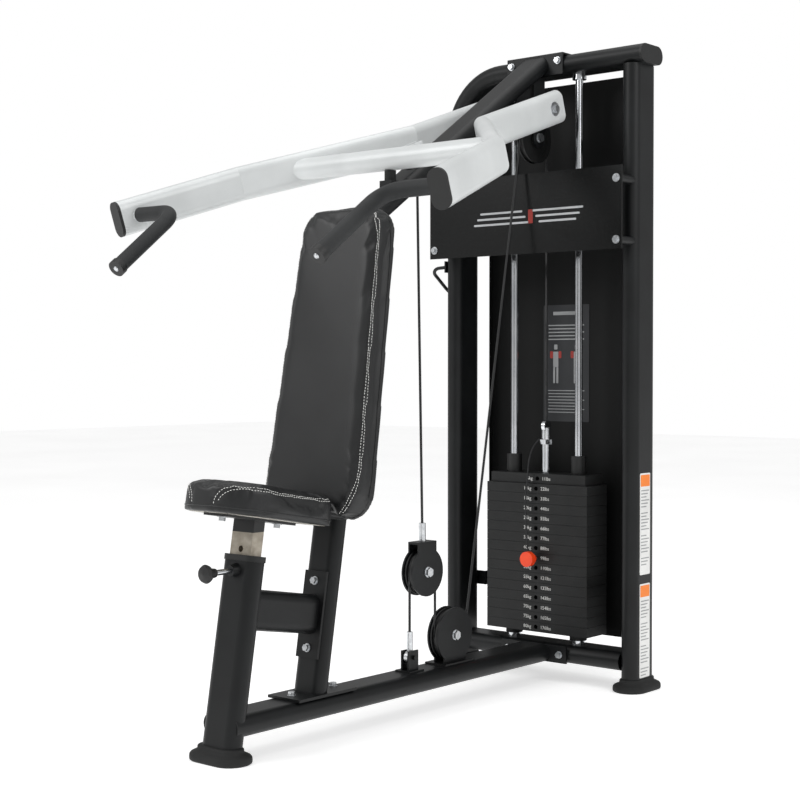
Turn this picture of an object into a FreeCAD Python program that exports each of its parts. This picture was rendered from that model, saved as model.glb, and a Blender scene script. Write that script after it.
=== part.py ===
import FreeCAD, Part
import math
import os
import re

# Seated shoulder press with a weight stack: tower, base beam, backrest, seat, press arm, cables.
# Frame: +Z up, X across the machine (its mirror plane is X = 0), the user faces -Y.
# The pieces are laid out from the floor point midway between the two tower uprights; the files are
# written with that point leg_y behind the origin, which is the middle of the front foot's sole.

os.makedirs("parts", exist_ok=True)
doc = FreeCAD.newDocument("shoulder_press")
Vec = FreeCAD.Vector
Rot = FreeCAD.Rotation
X_AXIS, Y_AXIS, Z_AXIS = Vec(1, 0, 0), Vec(0, 1, 0), Vec(0, 0, 1)

# ---------------------------------------------------------------- driving sizes, mm and degrees
SIZES = {
    # frame tube (flat oval) and tower
    "tower_height": 1560, "tube_wide": 100, "tube_thin": 45, "tube_wall": 2.5,
    "upright_half": 269, "hoop_radius": 148, "top_overhang": 31, "cap_thick": 6,
    "base_lift": 47, "foot_long": 145, "foot_wide": 86, "foot_tall": 30, "foot_sole": 8,
    # base beam, leg, post, brace
    "leg_y": 1129.4, "leg_wide": 95, "leg_top": 393, "lean": 9.7, "collar_tall": 12, "beam_flange_half": 99,
    "plate_thick": 6, "post_wide": 80, "post_deep": 40, "post_y": 886, "elbow_up": 1108,
    "brace_slope": 33.65, "elbow_radius": 90, "post_plate_long": 176, "post_plate_wide": 92,
    "link_up": 298, "link_tall": 84, "link_wide": 40, "link_flange_tall": 184,
    # pads
    "back_length": 672, "back_top_wide": 236, "back_low_wide": 296, "back_thick": 56, "back_start": 460,
    "board_thick": 12, "pad_corner": 64, "seat_wide": 222, "seat_long": 290, "seat_thick": 50,
    "seat_nose": 100, "seat_rise": 83, "seat_tube_wide": 60, "seat_tube_deep": 30,
    "seat_plate_long": 194, "seat_plate_wide": 70, "seat_tube_hidden": 260,
    # press arm
    "pivot_y": 146.6, "pivot_up": 1407, "arm_tall": 80, "arm_thick": 40, "arm_half": 105,
    "arm_slope": 18.8, "arm_kink": 268, "bend_half": 375, "arm_bend": 600, "tip_half": 459,
    "arm_tip": 905, "arm_tail": 42, "crossbar_at": 489, "crossbar_dia": 50, "pivot_tube_dia": 60,
    "shaft_dia": 25, "arm_gap": 3, "grip_dia": 33, "handle_dia": 25, "handle_in": 300,
    "handle_bend_radius": 48, "handle_reach": 222, "handle_drop": 37,
    # stack
    "rod_half": 98.5, "rod_dia": 19, "plate_half": 153, "plate_deep": 90, "plate_pitch": 25,
    "plate_gap": 0.6, "stack_low": 117, "plates_left": 7, "plates_lifted": 8, "guide_hole": 23,
    "selector_dia": 20, "selector_hole": 26, "pin_dia": 9, "pin_hole": 11, "pin_knob_dia": 38,
    "lanyard_dia": 4, "bush_tall": 46, "bush_dia": 38, "rod_head_top": 644,
    # covers
    "panel_half": 291, "panel_low": 1066, "panel_high": 1264, "panel_front": 110, "panel_thick": 4,
    "panel_bolt_half": 276, "spacer_dia": 21, "cover_half": 240, "cover_back": 92, "cover_thick": 2,
    "cover_low": 104, "cover_high": 1512, "cover_rim": 14, "placard_wide": 141, "placard_tall": 302,
    "placard_low": 645, "label_thick": 0.8,
    # cables and pulleys
    "cable_dia": 6, "block_y": 496, "block_up": 315, "block_groove": 43, "base_y": 394, "base_up": 157,
    "big_groove": 53, "top_y": 56, "top_up": 1358, "pulley_wide": 18, "pulley_rim": 9,
    "pulley_bore": 12, "cheek_gap": 3, "cheek_thick": 4, "anchor_up": 124,
    "lug_y": 517, "lug_up": 1285, "lug_gap": 12,
    # seat pop-pin
    "pop_up": 377, "pop_reach": 80, "pop_knob_dia": 38, "pop_shaft_dia": 12,
}

sheet = doc.addObject("Spreadsheet::Sheet", "Sizes")
for row, (alias, number) in enumerate(SIZES.items(), start=1):
    sheet.set("A%d" % row, alias)
    sheet.set("B%d" % row, str(number))
    sheet.setAlias("B%d" % row, alias)
doc.recompute()


def val(alias):
    """A size read back from the sheet."""
    return float(sheet.get(alias))


def bound(formula):
    """Put the sheet's name in front of every alias of a formula."""
    return re.sub(r"[a-z_]+", lambda m: "Sizes." + m.group(0) if m.group(0) in SIZES else m.group(0),
                  str(formula))


PARTS = []


def keep(item, label):
    """Name a finished sub-part and list it for export."""
    item.Label = label
    PARTS.append(item)
    return item


def turn(axis, degrees):
    return Rot(axis, degrees)


def lay(item, at=("0", "0", "0"), rotation=None):
    """Place an item: rotation by value, position by formulas of the sheet."""
    item.Placement = FreeCAD.Placement(Vec(0, 0, 0), rotation or Rot())
    for axis, formula in zip("xyz", at):
        item.setExpression("Placement.Base." + axis, bound(formula))
    return item


def box(name, size, centre):
    """A block from its three lengths and its centre."""
    item = doc.addObject("Part::Box", name)
    for prop, formula in zip(("Length", "Width", "Height"), size):
        item.setExpression(prop, bound(formula))
    at = ["%s - (%s)/2" % (place, length) for place, length in zip(centre, size)]
    return lay(item, at)


def rod(name, radius, length, start, axis=Z_AXIS):
    """A cylinder that starts at a point and runs along an axis."""
    item = doc.addObject("Part::Cylinder", name)
    item.setExpression("Radius", bound(radius))
    item.setExpression("Height", bound(length))
    return lay(item, start, Rot(Z_AXIS, axis))


def minus(name, base, *tools):
    """Cut one or more tools from a base."""
    tool = tools[0] if len(tools) == 1 else plus(name + "_tools", *tools)
    item = doc.addObject("Part::Cut", name)
    item.Base = base
    item.Tool = tool
    return item


def plus(name, *pieces):
    """Join pieces into one object; pieces that stand apart stay separate solids."""
    item = doc.addObject("Part::MultiFuse", name)
    item.Shapes = list(pieces)
    return item


def slot_loop(sketch, long, short):
    """A closed flat-oval loop centred on the sketch's origin, long along its X axis."""
    first = sketch.GeometryCount
    reach, radius = 20.0, 10.0
    centre_a, centre_b = Vec(reach, 0, 0), Vec(-reach, 0, 0)
    half = math.pi / 2
    sketch.addGeometry([
        Part.LineSegment(Vec(-reach, radius, 0), Vec(reach, radius, 0)),
        Part.ArcOfCircle(Part.Circle(centre_a, Z_AXIS, radius), -half, half),
        Part.LineSegment(Vec(reach, -radius, 0), Vec(-reach, -radius, 0)),
        Part.ArcOfCircle(Part.Circle(centre_b, Z_AXIS, radius), half, 3 * half)], False)
    top, right, low, left = first, first + 1, first + 2, first + 3
    import Sketcher
    add = sketch.addConstraint
    add(Sketcher.Constraint("Tangent", top, 2, right, 2))
    add(Sketcher.Constraint("Tangent", right, 1, low, 1))
    add(Sketcher.Constraint("Tangent", low, 2, left, 2))
    add(Sketcher.Constraint("Tangent", left, 1, top, 1))
    add(Sketcher.Constraint("Equal", right, left))
    add(Sketcher.Constraint("Horizontal", top))
    add(Sketcher.Constraint("Symmetric", right, 3, left, 3, -1, 1))
    width = add(Sketcher.Constraint("Radius", right, radius))
    span = add(Sketcher.Constraint("DistanceX", left, 3, right, 3, 2 * reach))
    sketch.setExpression("Constraints[%d]" % width, bound("(%s)/2" % short))
    sketch.setExpression("Constraints[%d]" % span, bound("(%s) - (%s)" % (long, short)))


def flat_sketch(body, name):
    """A sketch on its body's own XY plane."""
    sketch = body.newObject("Sketcher::SketchObject", name)
    plane = [f for f in body.Origin.OriginFeatures if f.Role == "XY_Plane"][0]
    sketch.AttachmentSupport = [(plane, "")]
    sketch.MapMode = "FlatFace"
    return sketch


def oval_body(name, long, short, length, start, rotation=None, wall=None):
    """A flat-oval bar or tube: a padded flat-oval sketch."""
    body = doc.addObject("PartDesign::Body", name)
    sketch = flat_sketch(body, name + "_section")
    slot_loop(sketch, long, short)
    if wall:
        slot_loop(sketch, "%s - 2*%s" % (long, wall), "%s - 2*%s" % (short, wall))
    pad = body.newObject("PartDesign::Pad", name + "_pad")
    pad.Profile = sketch
    pad.setExpression("Length", bound(length))
    return lay(body, start, rotation)


def rounded_path(points, radii):
    """Straight runs joined by tangent arcs; a radius of 0 leaves a mitred corner."""
    edges = []
    last = points[0]
    for index in range(1, len(points) - 1):
        corner, radius = points[index], radii[index - 1]
        back = (points[index - 1] - corner).normalize()
        ahead = (points[index + 1] - corner).normalize()
        if radius == 0:
            edges.append(Part.LineSegment(last, corner).toShape())
            last = corner
            continue
        half = back.getAngle(ahead) / 2
        reach = radius / math.tan(half)
        start, end = corner + back * reach, corner + ahead * reach
        middle = corner + (back + ahead).normalize() * (radius / math.sin(half) - radius)
        edges.append(Part.LineSegment(last, start).toShape())
        edges.append(Part.Arc(start, middle, end).toShape())
        last = end
    edges.append(Part.LineSegment(last, points[-1]).toShape())
    return Part.Wire(edges)


def swept(name, path, profile, up, corner="Transformed"):
    """Sweep a section along a path; the section's long side is along 'up' where it starts."""
    spine = doc.addObject("Part::Feature", name + "_path")
    spine.Shape = path
    first = path.Edges[0]
    start = first.valueAt(first.FirstParameter)
    heading = first.tangentAt(first.FirstParameter)
    side = up.cross(heading)
    profile.Placement = FreeCAD.Placement(start, Rot(up, side, heading, "ZXY"))
    item = doc.addObject("Part::Sweep", name)
    item.Sections = [profile]
    item.Spine = (spine, ["Edge%d" % (n + 1) for n in range(len(path.Edges))])
    item.Solid = True
    item.Frenet = False
    item.Transition = corner
    return item


def oval_section(name, long, short):
    """A free flat-oval section for a sweep."""
    sketch = doc.addObject("Sketcher::SketchObject", name)
    slot_loop(sketch, long, short)
    return sketch


def round_section(name, diameter):
    """A free round section for a sweep."""
    import Sketcher
    sketch = doc.addObject("Sketcher::SketchObject", name)
    sketch.addGeometry(Part.Circle(Vec(0, 0, 0), Z_AXIS, 5), False)
    sketch.addConstraint(Sketcher.Constraint("Coincident", 0, 3, -1, 1))
    size = sketch.addConstraint(Sketcher.Constraint("Diameter", 0, 10))
    sketch.setExpression("Constraints[%d]" % size, bound(diameter))
    return sketch


def hollow(name, path, long, short, up, corner="Transformed"):
    """A flat-oval tube along a path: the outer sweep less the inner one."""
    outer = swept(name + "_outer", path, oval_section(name + "_outside", long, short), up, corner)
    bore = oval_section(name + "_inside", long + " - 2*tube_wall", short + " - 2*tube_wall")
    return minus(name, outer, swept(name + "_bore", path, bore, up, corner))


def drum(name, radius, half, centre):
    """A cylinder along X, centred on a point given by formulas."""
    x, y, z = centre
    return rod(name, radius, "2*(%s)" % half, ("%s - (%s)" % (x, half), y, z), X_AXIS)


def both(name, make):
    """A piece and its twin on the other side of the mirror plane, as one node."""
    return plus(name, make(name + "_right", 1), make(name + "_left", -1))


# ---------------------------------------------------------------- tower
top_mid = val("tower_height") - val("tube_thin") / 2
TOP_UNDER = "(tower_height - tube_thin)"
BEAM_TOP = "(base_lift + tube_thin)"

hoop_path = rounded_path([Vec(-val("upright_half"), 0, val("foot_sole")),
                          Vec(-val("upright_half"), 0, top_mid),
                          Vec(val("upright_half") + val("top_overhang"), 0, top_mid)],
                         [val("hoop_radius")])
keep(hollow("hoop", hoop_path, "tube_wide", "tube_thin", Y_AXIS), "tower_hoop")

upright = oval_body("upright", "tube_wide", "tube_thin", TOP_UNDER + " - foot_sole",
                    ("upright_half", "0", "foot_sole"), turn(Z_AXIS, 90), "tube_wall")
keep(upright, "tower_upright")

cap = oval_body("cap", "tube_wide", "tube_thin", "cap_thick",
                ("upright_half + top_overhang", "0", "tower_height - tube_thin/2"),
                Rot(Y_AXIS, Z_AXIS, X_AXIS, "ZXY"))
keep(cap, "top_tube_cap")

crossbar_half = "(upright_half - tube_thin/2)"
base_cross = oval_body("base_cross", "tube_wide", "tube_thin", "2*" + crossbar_half,
                       ("-" + crossbar_half, "0", "base_lift + tube_thin/2"),
                       Rot(Y_AXIS, Z_AXIS, X_AXIS, "ZXY"), "tube_wall")
keep(base_cross, "base_crossbar")

flange = box("flange", ("2*beam_flange_half", "plate_thick", "tube_thin - 3"),
             ("0", "-tube_wide/2 - plate_thick/2", "base_lift + tube_thin/2"))

lean = math.radians(val("lean"))
LEAN = turn(X_AXIS, -val("lean"))
beam_lie = Rot(X_AXIS, Z_AXIS, Vec(0, -1, 0), "ZXY")
beam_raw = oval_body("beam_raw", "tube_wide", "tube_thin", "leg_y - tube_wide/2 - plate_thick",
                     ("0", "-tube_wide/2 - plate_thick", "base_lift + tube_thin/2"), beam_lie, "tube_wall")
leg_solid = oval_body("leg_solid", "leg_wide", "tube_thin", "leg_top + tube_wide",
                      ("0", "-leg_y", "0"), LEAN)
beam = minus("beam", beam_raw, leg_solid)
keep(plus("beam_weldment", beam, flange), "main_beam")

# The leg leans back; its own length axis starts on the floor at leg_y.
leg_raw = oval_body("leg_raw", "leg_wide", "tube_thin", "leg_top/cos(lean)", ("0", "-leg_y", "0"),
                    LEAN, "tube_wall")
leg_trim = box("leg_trim", ("2*tube_wide", "2*tube_wide", "tube_wide"),
               ("0", "-leg_y", "foot_sole - tube_wide/2"))
pop_out = "leg_y - pop_up*tan(lean)"
pop_hole = rod("pop_hole", "pop_shaft_dia/2 + 0.4", "tube_wide",
               ("0", "-(%s) - tube_wide" % pop_out, "pop_up"), Y_AXIS)
leg_tube = minus("leg_tube", leg_raw, leg_trim, pop_hole)


def foot(name, long_axis, centre_y, centre_x, leg_tool):
    """A rubber shoe: a rounded sole, hollowed for its tube."""
    sole = oval_body(name + "_sole", "foot_long", "foot_wide", "foot_tall",
                     (centre_x, centre_y, "0"), long_axis)
    return minus(name, sole, leg_tool)


feet = [foot("foot_" + word, turn(Z_AXIS, 90), "0", sign + "upright_half",
             box("foot_room_" + word, ("tube_thin", "tube_wide", "foot_tall"),
                 (sign + "upright_half", "0", "foot_sole + foot_tall/2")))
        for word, sign in (("right", ""), ("left", "-"))]
leg_room = oval_body("leg_room", "leg_wide", "tube_thin", "leg_top", ("0", "-leg_y", "0"), LEAN)
leg_room_cut = minus("leg_room_cut", leg_room,
                     box("leg_room_trim", ("2*tube_wide", "2*tube_wide", "tube_wide"),
                         ("0", "-leg_y", "foot_sole - tube_wide/2")))
feet.append(foot("foot_front", Rot(), "-leg_y", "0", leg_room_cut))
keep(plus("feet", *feet), "rubber_feet")


def on_leg(x, y, along):
    """Formulas for a point given in the leg's leaning frame: x, y across, 'along' up its axis."""
    return (x, "-leg_y + (%s)*cos(lean) + (%s)*sin(lean)" % (y, along),
            "(%s)*cos(lean) - (%s)*sin(lean)" % (along, y))


def leaning_box(name, size, at):
    """A block centred in x and y on a point of the leg's frame, rising along its axis."""
    wide, deep, tall = size
    item = doc.addObject("Part::Box", name)
    for prop, formula in zip(("Length", "Width", "Height"), size):
        item.setExpression(prop, bound(formula))
    x, y, along = at
    return lay(item, on_leg("%s - (%s)/2" % (x, wide), "%s - (%s)/2" % (y, deep), along), LEAN)


LEG_LENGTH = "(leg_top/cos(lean))"
collar_top = oval_body("collar_top", "leg_wide + 4", "tube_thin + 4", "collar_tall",
                       on_leg("0", "0", LEG_LENGTH + " + 0.1"), LEAN)
collar_plug = oval_body("collar_plug", "leg_wide - 2*tube_wall - 0.4", "tube_thin - 2*tube_wall - 0.4",
                        "collar_tall*1.2", on_leg("0", "0", LEG_LENGTH + " - collar_tall*1.2 + 0.1"), LEAN)
collar_bore = leaning_box("collar_bore", ("seat_tube_wide + 0.8", "seat_tube_deep + 0.8", "6*collar_tall"),
                          ("0", "0", LEG_LENGTH + " - 3*collar_tall"))
keep(minus("collar", plus("collar_solid", collar_top, collar_plug), collar_bore), "leg_collar")

# ---------------------------------------------------------------- backrest post and brace, one bent tube
post_tan = math.tan(lean)
slope = math.radians(val("brace_slope"))
plate_top = val("base_lift") + val("tube_thin") + val("plate_thick")
elbow = Vec(0, -val("post_y") + val("elbow_up") * post_tan, val("elbow_up"))
post_foot = Vec(0, -val("post_y") + plate_top * post_tan, plate_top)
brace_end_y = -val("tube_wide") / 2 + 30
brace_end = Vec(0, brace_end_y, elbow.z + (brace_end_y - elbow.y) * math.tan(slope))
post_low = post_foot - (elbow - post_foot).normalize() * 30
spine_path = rounded_path([post_low, elbow, brace_end], [val("elbow_radius")])
spine_tube = hollow("spine_tube", spine_path, "post_wide", "post_deep", X_AXIS)
spine_raw = doc.getObject("spine_tube_outer")
spine_trim_low = box("spine_trim_low", ("4*post_wide", "4*post_wide", "4*tube_wide"),
                     ("0", "-post_y", BEAM_TOP + " + plate_thick - 2*tube_wide"))
spine_trim_top = box("spine_trim_top", ("4*post_wide", "4*tube_wide", "6*tube_wide"),
                     ("0", "-tube_wide/2 - 4 + 2*tube_wide", "tower_height"))
cable_slot = box("cable_slot", ("cable_dia + 10", "64", "tube_wide*2"), ("0", "-lug_y + 3", "lug_up - 55"))
spine = minus("spine", spine_tube, spine_trim_low, spine_trim_top, cable_slot)

POST_FOOT_Y = "(-post_y + (%s + plate_thick)*tan(lean))" % BEAM_TOP
post_plate = box("post_plate", ("post_plate_wide", "post_plate_long", "plate_thick"),
                 ("0", POST_FOOT_Y + " + 6", BEAM_TOP + " + plate_thick/2"))

saddle_front = box("saddle_front", ("168", "4", "tube_thin + 8"),
                   ("0", "-tube_wide/2 - 2", "tower_height - tube_thin/2"))
saddle_top = box("saddle_top", ("168", "tube_wide/2 + 24", "4"),
                 ("0", "-tube_wide/4 + 8", "tower_height + 2"))

# Link between the leg and the post, with its bolted flange on the post's front face.
LINK_ALONG = "(link_up/cos(lean))"
post_face_y = "((leg_y - post_y)*cos(lean) - post_deep/2)"
link_length = post_face_y + " - plate_thick - tube_thin/2"
link_body = oval_body("link_raw", "link_tall", "link_wide", link_length + " + 12",
                      on_leg("0", "tube_thin/2 - 12", LINK_ALONG),
                      LEAN * Rot(Z_AXIS, X_AXIS, Y_AXIS, "ZXY"))
link = minus("link", link_body, oval_body("link_tool", "leg_wide", "tube_thin", "leg_top",
                                          ("0", "-leg_y", "0"), LEAN))
link_flange = leaning_box("link_flange", ("post_wide - 18", "plate_thick", "link_flange_tall"),
                          ("0", post_face_y + " - plate_thick/2", LINK_ALONG + " - link_flange_tall/2"))


# ---------------------------------------------------------------- pads
def leaning_point(base_y, y, along):
    """A point in a leaning frame whose axis meets the floor at base_y."""
    return Vec(0, base_y + y * math.cos(lean) + along * math.sin(lean),
               along * math.cos(lean) - y * math.sin(lean))


def slab(name, corners, radii, thick, origin, rotation):
    """A plate or pad: a round-cornered outline in its own XY plane, thickened along its Z."""
    middle = (corners[0] + corners[-1]) * 0.5
    loop = rounded_path([middle] + corners + [middle], radii)
    item = doc.addObject("Part::Feature", name)
    item.Shape = Part.Face(loop).extrude(Vec(0, 0, thick))
    item.Placement = FreeCAD.Placement(origin, rotation)
    return item


def back_slab(name, inset, front, thick):
    """A slab of the backrest's outline, set in by 'inset', between two depths."""
    top, low = val("back_top_wide") / 2 - inset, val("back_low_wide") / 2 - inset
    length = val("back_length") - inset
    corners = [Vec(-low, inset, 0), Vec(low, inset, 0), Vec(top, length, 0), Vec(-top, length, 0)]
    radius = val("pad_corner") - inset / 2
    origin = leaning_point(-val("post_y"), -front, val("back_start") / math.cos(lean))
    stand = LEAN * Rot(X_AXIS, Z_AXIS, Vec(0, -1, 0), "XYZ")
    return slab(name, corners, [radius] * 4, thick, origin, stand)


back_gap = val("post_deep") / 2 + val("plate_thick") + 0.2
board = val("board_thick")
foam = val("back_thick") - board
keep(back_slab("back_board", 5, back_gap, board), "back_pad_board")
keep(back_slab("back_foam", 0, back_gap + board, foam), "back_pad")


def back_mount(along, name):
    """A flat bar welded across the post that carries the backrest's board."""
    item = doc.addObject("Part::Box", name)
    item.setExpression("Length", bound("post_wide + 90"))
    item.setExpression("Width", bound("plate_thick"))
    item.Height = 50
    spot = leaning_point(-val("post_y"), -val("post_deep") / 2 - val("plate_thick"), along)
    item.Placement = FreeCAD.Placement(spot - Vec((val("post_wide") + 90) / 2, 0, 0), LEAN)
    return item


mount_alongs = [val("back_start") + 120, val("back_start") + 480]
back_mounts = [back_mount(along, "back_mount_%d" % n) for n, along in enumerate(mount_alongs)]

# Seat: pad and board on a plate that is welded to the seat tube, square to the leaning leg.
seat_base = val("leg_top") / math.cos(lean) + val("seat_rise")
nose, rear_corner = val("seat_nose"), 42


def seat_slab(name, inset, above, thick):
    """A slab of the seat's outline, round at the front, between two heights up the leg's axis."""
    side = val("seat_wide") / 2 - inset
    front, rear = -val("seat_long") / 2 + inset, val("seat_long") / 2 - inset
    corners = [Vec(-side, front, 0), Vec(side, front, 0), Vec(side, rear, 0), Vec(-side, rear, 0)]
    origin = leaning_point(-val("leg_y"), 6, seat_base + above)
    return slab(name, corners, [nose - inset, nose - inset, rear_corner, rear_corner], thick, origin, LEAN)


plate = val("plate_thick")
keep(seat_slab("seat_board", 5, plate, board), "seat_board")
keep(seat_slab("seat_foam", 0, plate + board, val("seat_thick")), "seat_pad")
seat_plate = leaning_box("seat_plate", ("seat_plate_wide", "seat_plate_long", "plate_thick"),
                         ("0", "2", LEG_LENGTH + " + seat_rise"))
seat_tube = leaning_box("seat_tube", ("seat_tube_wide", "seat_tube_deep", "seat_rise + seat_tube_hidden"),
                        ("0", "0", LEG_LENGTH + " - seat_tube_hidden"))
pin_holes = []
for step in range(5):
    spot = leaning_point(-val("leg_y"), -60, val("pop_up") / math.cos(lean) - 40 * (step - 1))
    hole = doc.addObject("Part::Cylinder", "seat_hole_%d" % step)
    hole.setExpression("Radius", bound("pop_shaft_dia/2 + 0.5"))
    hole.Height = 60
    hole.Placement = FreeCAD.Placement(spot, LEAN * Rot(Z_AXIS, Y_AXIS))
    pin_holes.append(hole)
seat_tube_drilled = minus("seat_tube_drilled", seat_tube, *pin_holes)
keep(plus("seat_post_weldment", seat_tube_drilled, seat_plate), "seat_post")


def bolt(name, at, direction, head=13, shank=0, washer=18):
    """A hexagon head on a washer, pointing out of a face; an optional shank goes in."""
    turned = Rot(Z_AXIS, direction)
    disc = doc.addObject("Part::Cylinder", name + "_washer")
    disc.Radius = washer / 2
    disc.Height = 1.6 + shank
    disc.Placement = FreeCAD.Placement(at - direction * shank, turned)
    hexagon = doc.addObject("Part::Prism", name + "_head")
    hexagon.Polygon = 6
    hexagon.Circumradius = head / math.sqrt(3)
    hexagon.Height = 7
    hexagon.Placement = FreeCAD.Placement(at + direction * 1.6, turned)
    return plus(name, disc, hexagon)


up_leg = LEAN.multVec(Z_AXIS)
front_lean = LEAN.multVec(Vec(0, -1, 0))
seat_bolts = []
for number, along_y in enumerate((-76, 80)):
    spot = leaning_point(-val("leg_y"), along_y, seat_base)
    seat_bolts.append(bolt("seat_bolt_%d" % number, spot, up_leg * -1, 12, 0, 20))
keep(plus("seat_bolts", *seat_bolts), "seat_bolts")

# Pop-pin: a fixed boss on the leg, and a sprung shaft with a knob that pulls out along -Y.
pop_face = -val("leg_y") + val("pop_up") * math.tan(lean) - val("tube_thin") / 2 / math.cos(lean)
pop_point = Vec(0, pop_face, val("pop_up"))
boss = doc.addObject("Part::Cone", "boss")
boss.Radius1, boss.Radius2, boss.Height = 15, 11, 18
boss.Placement = FreeCAD.Placement(pop_point + Vec(0, 3, 0), Rot(Z_AXIS, Vec(0, -1, 0)))
boss_bore = doc.addObject("Part::Cylinder", "boss_bore")
boss_bore.setExpression("Radius", bound("pop_shaft_dia/2 + 0.3"))
boss_bore.Height = 60
boss_bore.Placement = FreeCAD.Placement(pop_point + Vec(0, 30, 0), Rot(Z_AXIS, Vec(0, -1, 0)))
boss_cut = minus("boss_cut", boss, boss_bore, leg_solid)
keep(plus("leg_weldment", leg_tube, boss_cut, link, link_flange), "front_leg")
shaft = doc.addObject("Part::Cylinder", "pop_shaft")
shaft.setExpression("Radius", bound("pop_shaft_dia/2"))
shaft.setExpression("Height", bound("pop_reach - 20"))
shaft.Placement = FreeCAD.Placement(pop_point + Vec(0, 3.5, 0), Rot(Z_AXIS, Vec(0, -1, 0)))
keep(shaft, "pop_pin_shaft")
knob_body = doc.addObject("PartDesign::Body", "pop_knob")
knob_sketch = flat_sketch(knob_body, "pop_knob_profile")
radius = val("pop_knob_dia") / 2
outline = [Vec(0, 0, 0), Vec(9, 0, 0), Vec(11, 14, 0), Vec(radius - 2, 19, 0), Vec(radius, 24, 0),
           Vec(radius - 3, 30, 0), Vec(0, 33, 0)]
knob_sketch.addGeometry([Part.LineSegment(a, b) for a, b in zip(outline, outline[1:] + outline[:1])], False)
for index in range(len(outline)):
    following = (index + 1) % len(outline)
    knob_sketch.addConstraint(Sketcher.Constraint("Coincident", index, 2, following, 1))
knob_spin = knob_body.newObject("PartDesign::Revolution", "pop_knob_turned")
knob_spin.Profile = knob_sketch
knob_spin.ReferenceAxis = (knob_sketch, ["V_Axis"])
knob_spin.Angle = 360
knob_body.Placement = FreeCAD.Placement(pop_point + Vec(0, 3.5 - val("pop_reach") + 20, 0),
                                        Rot(Y_AXIS, Vec(0, -1, 0)))
keep(knob_body, "pop_pin_knob")

# ---------------------------------------------------------------- press arm
arm_lean = math.radians(val("arm_slope"))
ARM_TILT = turn(X_AXIS, val("arm_slope"))
PIVOT = Vec(0, -val("pivot_y"), val("pivot_up"))


def on_arm(x, reach, lift=0.0):
    """A point of the arm's sloping plane: 'reach' forward of the pivot, 'lift' square to the plane."""
    return PIVOT + ARM_TILT.multVec(Vec(x, -reach, lift))


arm_up = ARM_TILT.multVec(Z_AXIS)


def arm_bar(side, word):
    """One side of the arm: a flat-oval tube with two mitred bends."""
    points = [on_arm(side * val("arm_half"), -val("arm_tail")),
              on_arm(side * val("arm_half"), val("arm_kink")),
              on_arm(side * val("bend_half"), val("arm_bend")),
              on_arm(side * val("tip_half"), val("arm_tip"))]
    bar = hollow("arm_bar_" + word, rounded_path(points, [0, 0]), "arm_tall", "arm_thick", arm_up,
                 "Right corner")
    bore = drum("arm_bore_" + word, "shaft_dia/2 + 0.05", "arm_thick",
                ("%d*arm_half" % side, "-pivot_y", "pivot_up"))
    return minus("arm_cut_" + word, bar, bore)


arm_right = arm_bar(1, "right")
arm_left = arm_bar(-1, "left")
arm_solids = [doc.getObject("arm_bar_right_outer"), doc.getObject("arm_bar_left_outer")]
cross_spot = on_arm(0, val("crossbar_at"))
cross_share = (val("crossbar_at") - val("arm_kink")) / (val("arm_bend") - val("arm_kink"))
cross_reach = val("arm_half") + cross_share * (val("bend_half") - val("arm_half"))
cross_raw = doc.addObject("Part::Cylinder", "cross_raw")
cross_raw.setExpression("Radius", bound("crossbar_dia/2"))
cross_raw.Height = 2 * cross_reach
cross_raw.Placement = FreeCAD.Placement(cross_spot - Vec(cross_reach, 0, 0), Rot(Z_AXIS, X_AXIS))
keep(minus("cross_cut", cross_raw, *arm_solids), "arm_crossbar")

shaft_bar = drum("shaft_bar", "shaft_dia/2", "arm_half + arm_thick/2", ("0", "-pivot_y", "pivot_up"))
shaft_out = val("arm_half") + val("arm_thick") / 2
end_bolts = [bolt("end_bolt_%d" % s, PIVOT + Vec(s * shaft_out, 0, 0), Vec(s, 0, 0), 17, 0, 34)
             for s in (1, -1)]
keep(plus("pivot_bolts", shaft_bar, *end_bolts), "pivot_shaft")
tube_half = "(arm_half - arm_thick/2 - arm_gap)"
pivot_tube = drum("pivot_tube", "pivot_tube_dia/2", tube_half, ("0", "-pivot_y", "pivot_up"))
pivot_bore = drum("pivot_bore", "shaft_dia/2 + 5", "arm_half", ("0", "-pivot_y", "pivot_up"))
pivot_barrel = minus("pivot_barrel", pivot_tube, pivot_bore)


def pivot_bearing(name, side):
    """A flanged bearing pressed into one end of the housing."""
    ring = drum(name + "_ring", "shaft_dia/2 + 5", "6",
                ("%d*(%s - 6)" % (side, tube_half), "-pivot_y", "pivot_up"))
    hole = drum(name + "_hole", "shaft_dia/2 + 0.05", "12",
                ("%d*(%s - 6)" % (side, tube_half), "-pivot_y", "pivot_up"))
    return minus(name, ring, hole)


keep(both("pivot_bearings", pivot_bearing), "pivot_bearings")


def hanger(name, side):
    """A plate that hangs the pivot housing under the brace."""
    plate_at = ("%d*30" % side, "-pivot_y", "pivot_up + 28")
    return box(name, ("plate_thick", "56", "64"), plate_at)


hangers = both("hangers", hanger)
hangers_cut = minus("hangers_cut", hangers, pivot_tube, spine_raw)
keep(plus("pivot_weldment", pivot_barrel, hangers_cut), "pivot_housing")

cap_end = [on_arm(s * val("tip_half"), val("arm_tip")) for s in (1, -1)]
tip_run = [(on_arm(s * val("tip_half"), val("arm_tip"))
            - on_arm(s * val("bend_half"), val("arm_bend"))).normalize() for s in (1, -1)]


def oval_plug(name, start, heading, up, long, short, length):
    """A short flat-oval block at a free place and heading."""
    body = oval_body(name, long, short, str(length), ("0", "0", "0"))
    for axis in "xyz":
        body.setExpression("Placement.Base." + axis, None)
    body.Placement = FreeCAD.Placement(start, Rot(up, up.cross(heading), heading, "ZXY"))
    return body


keep(plus("arm_caps", *[oval_plug("arm_cap_%d" % n, cap_end[n] + tip_run[n] * 0.05, tip_run[n], arm_up,
                                  "arm_tall", "arm_thick", 7) for n in range(2)]), "arm_end_caps")


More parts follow.
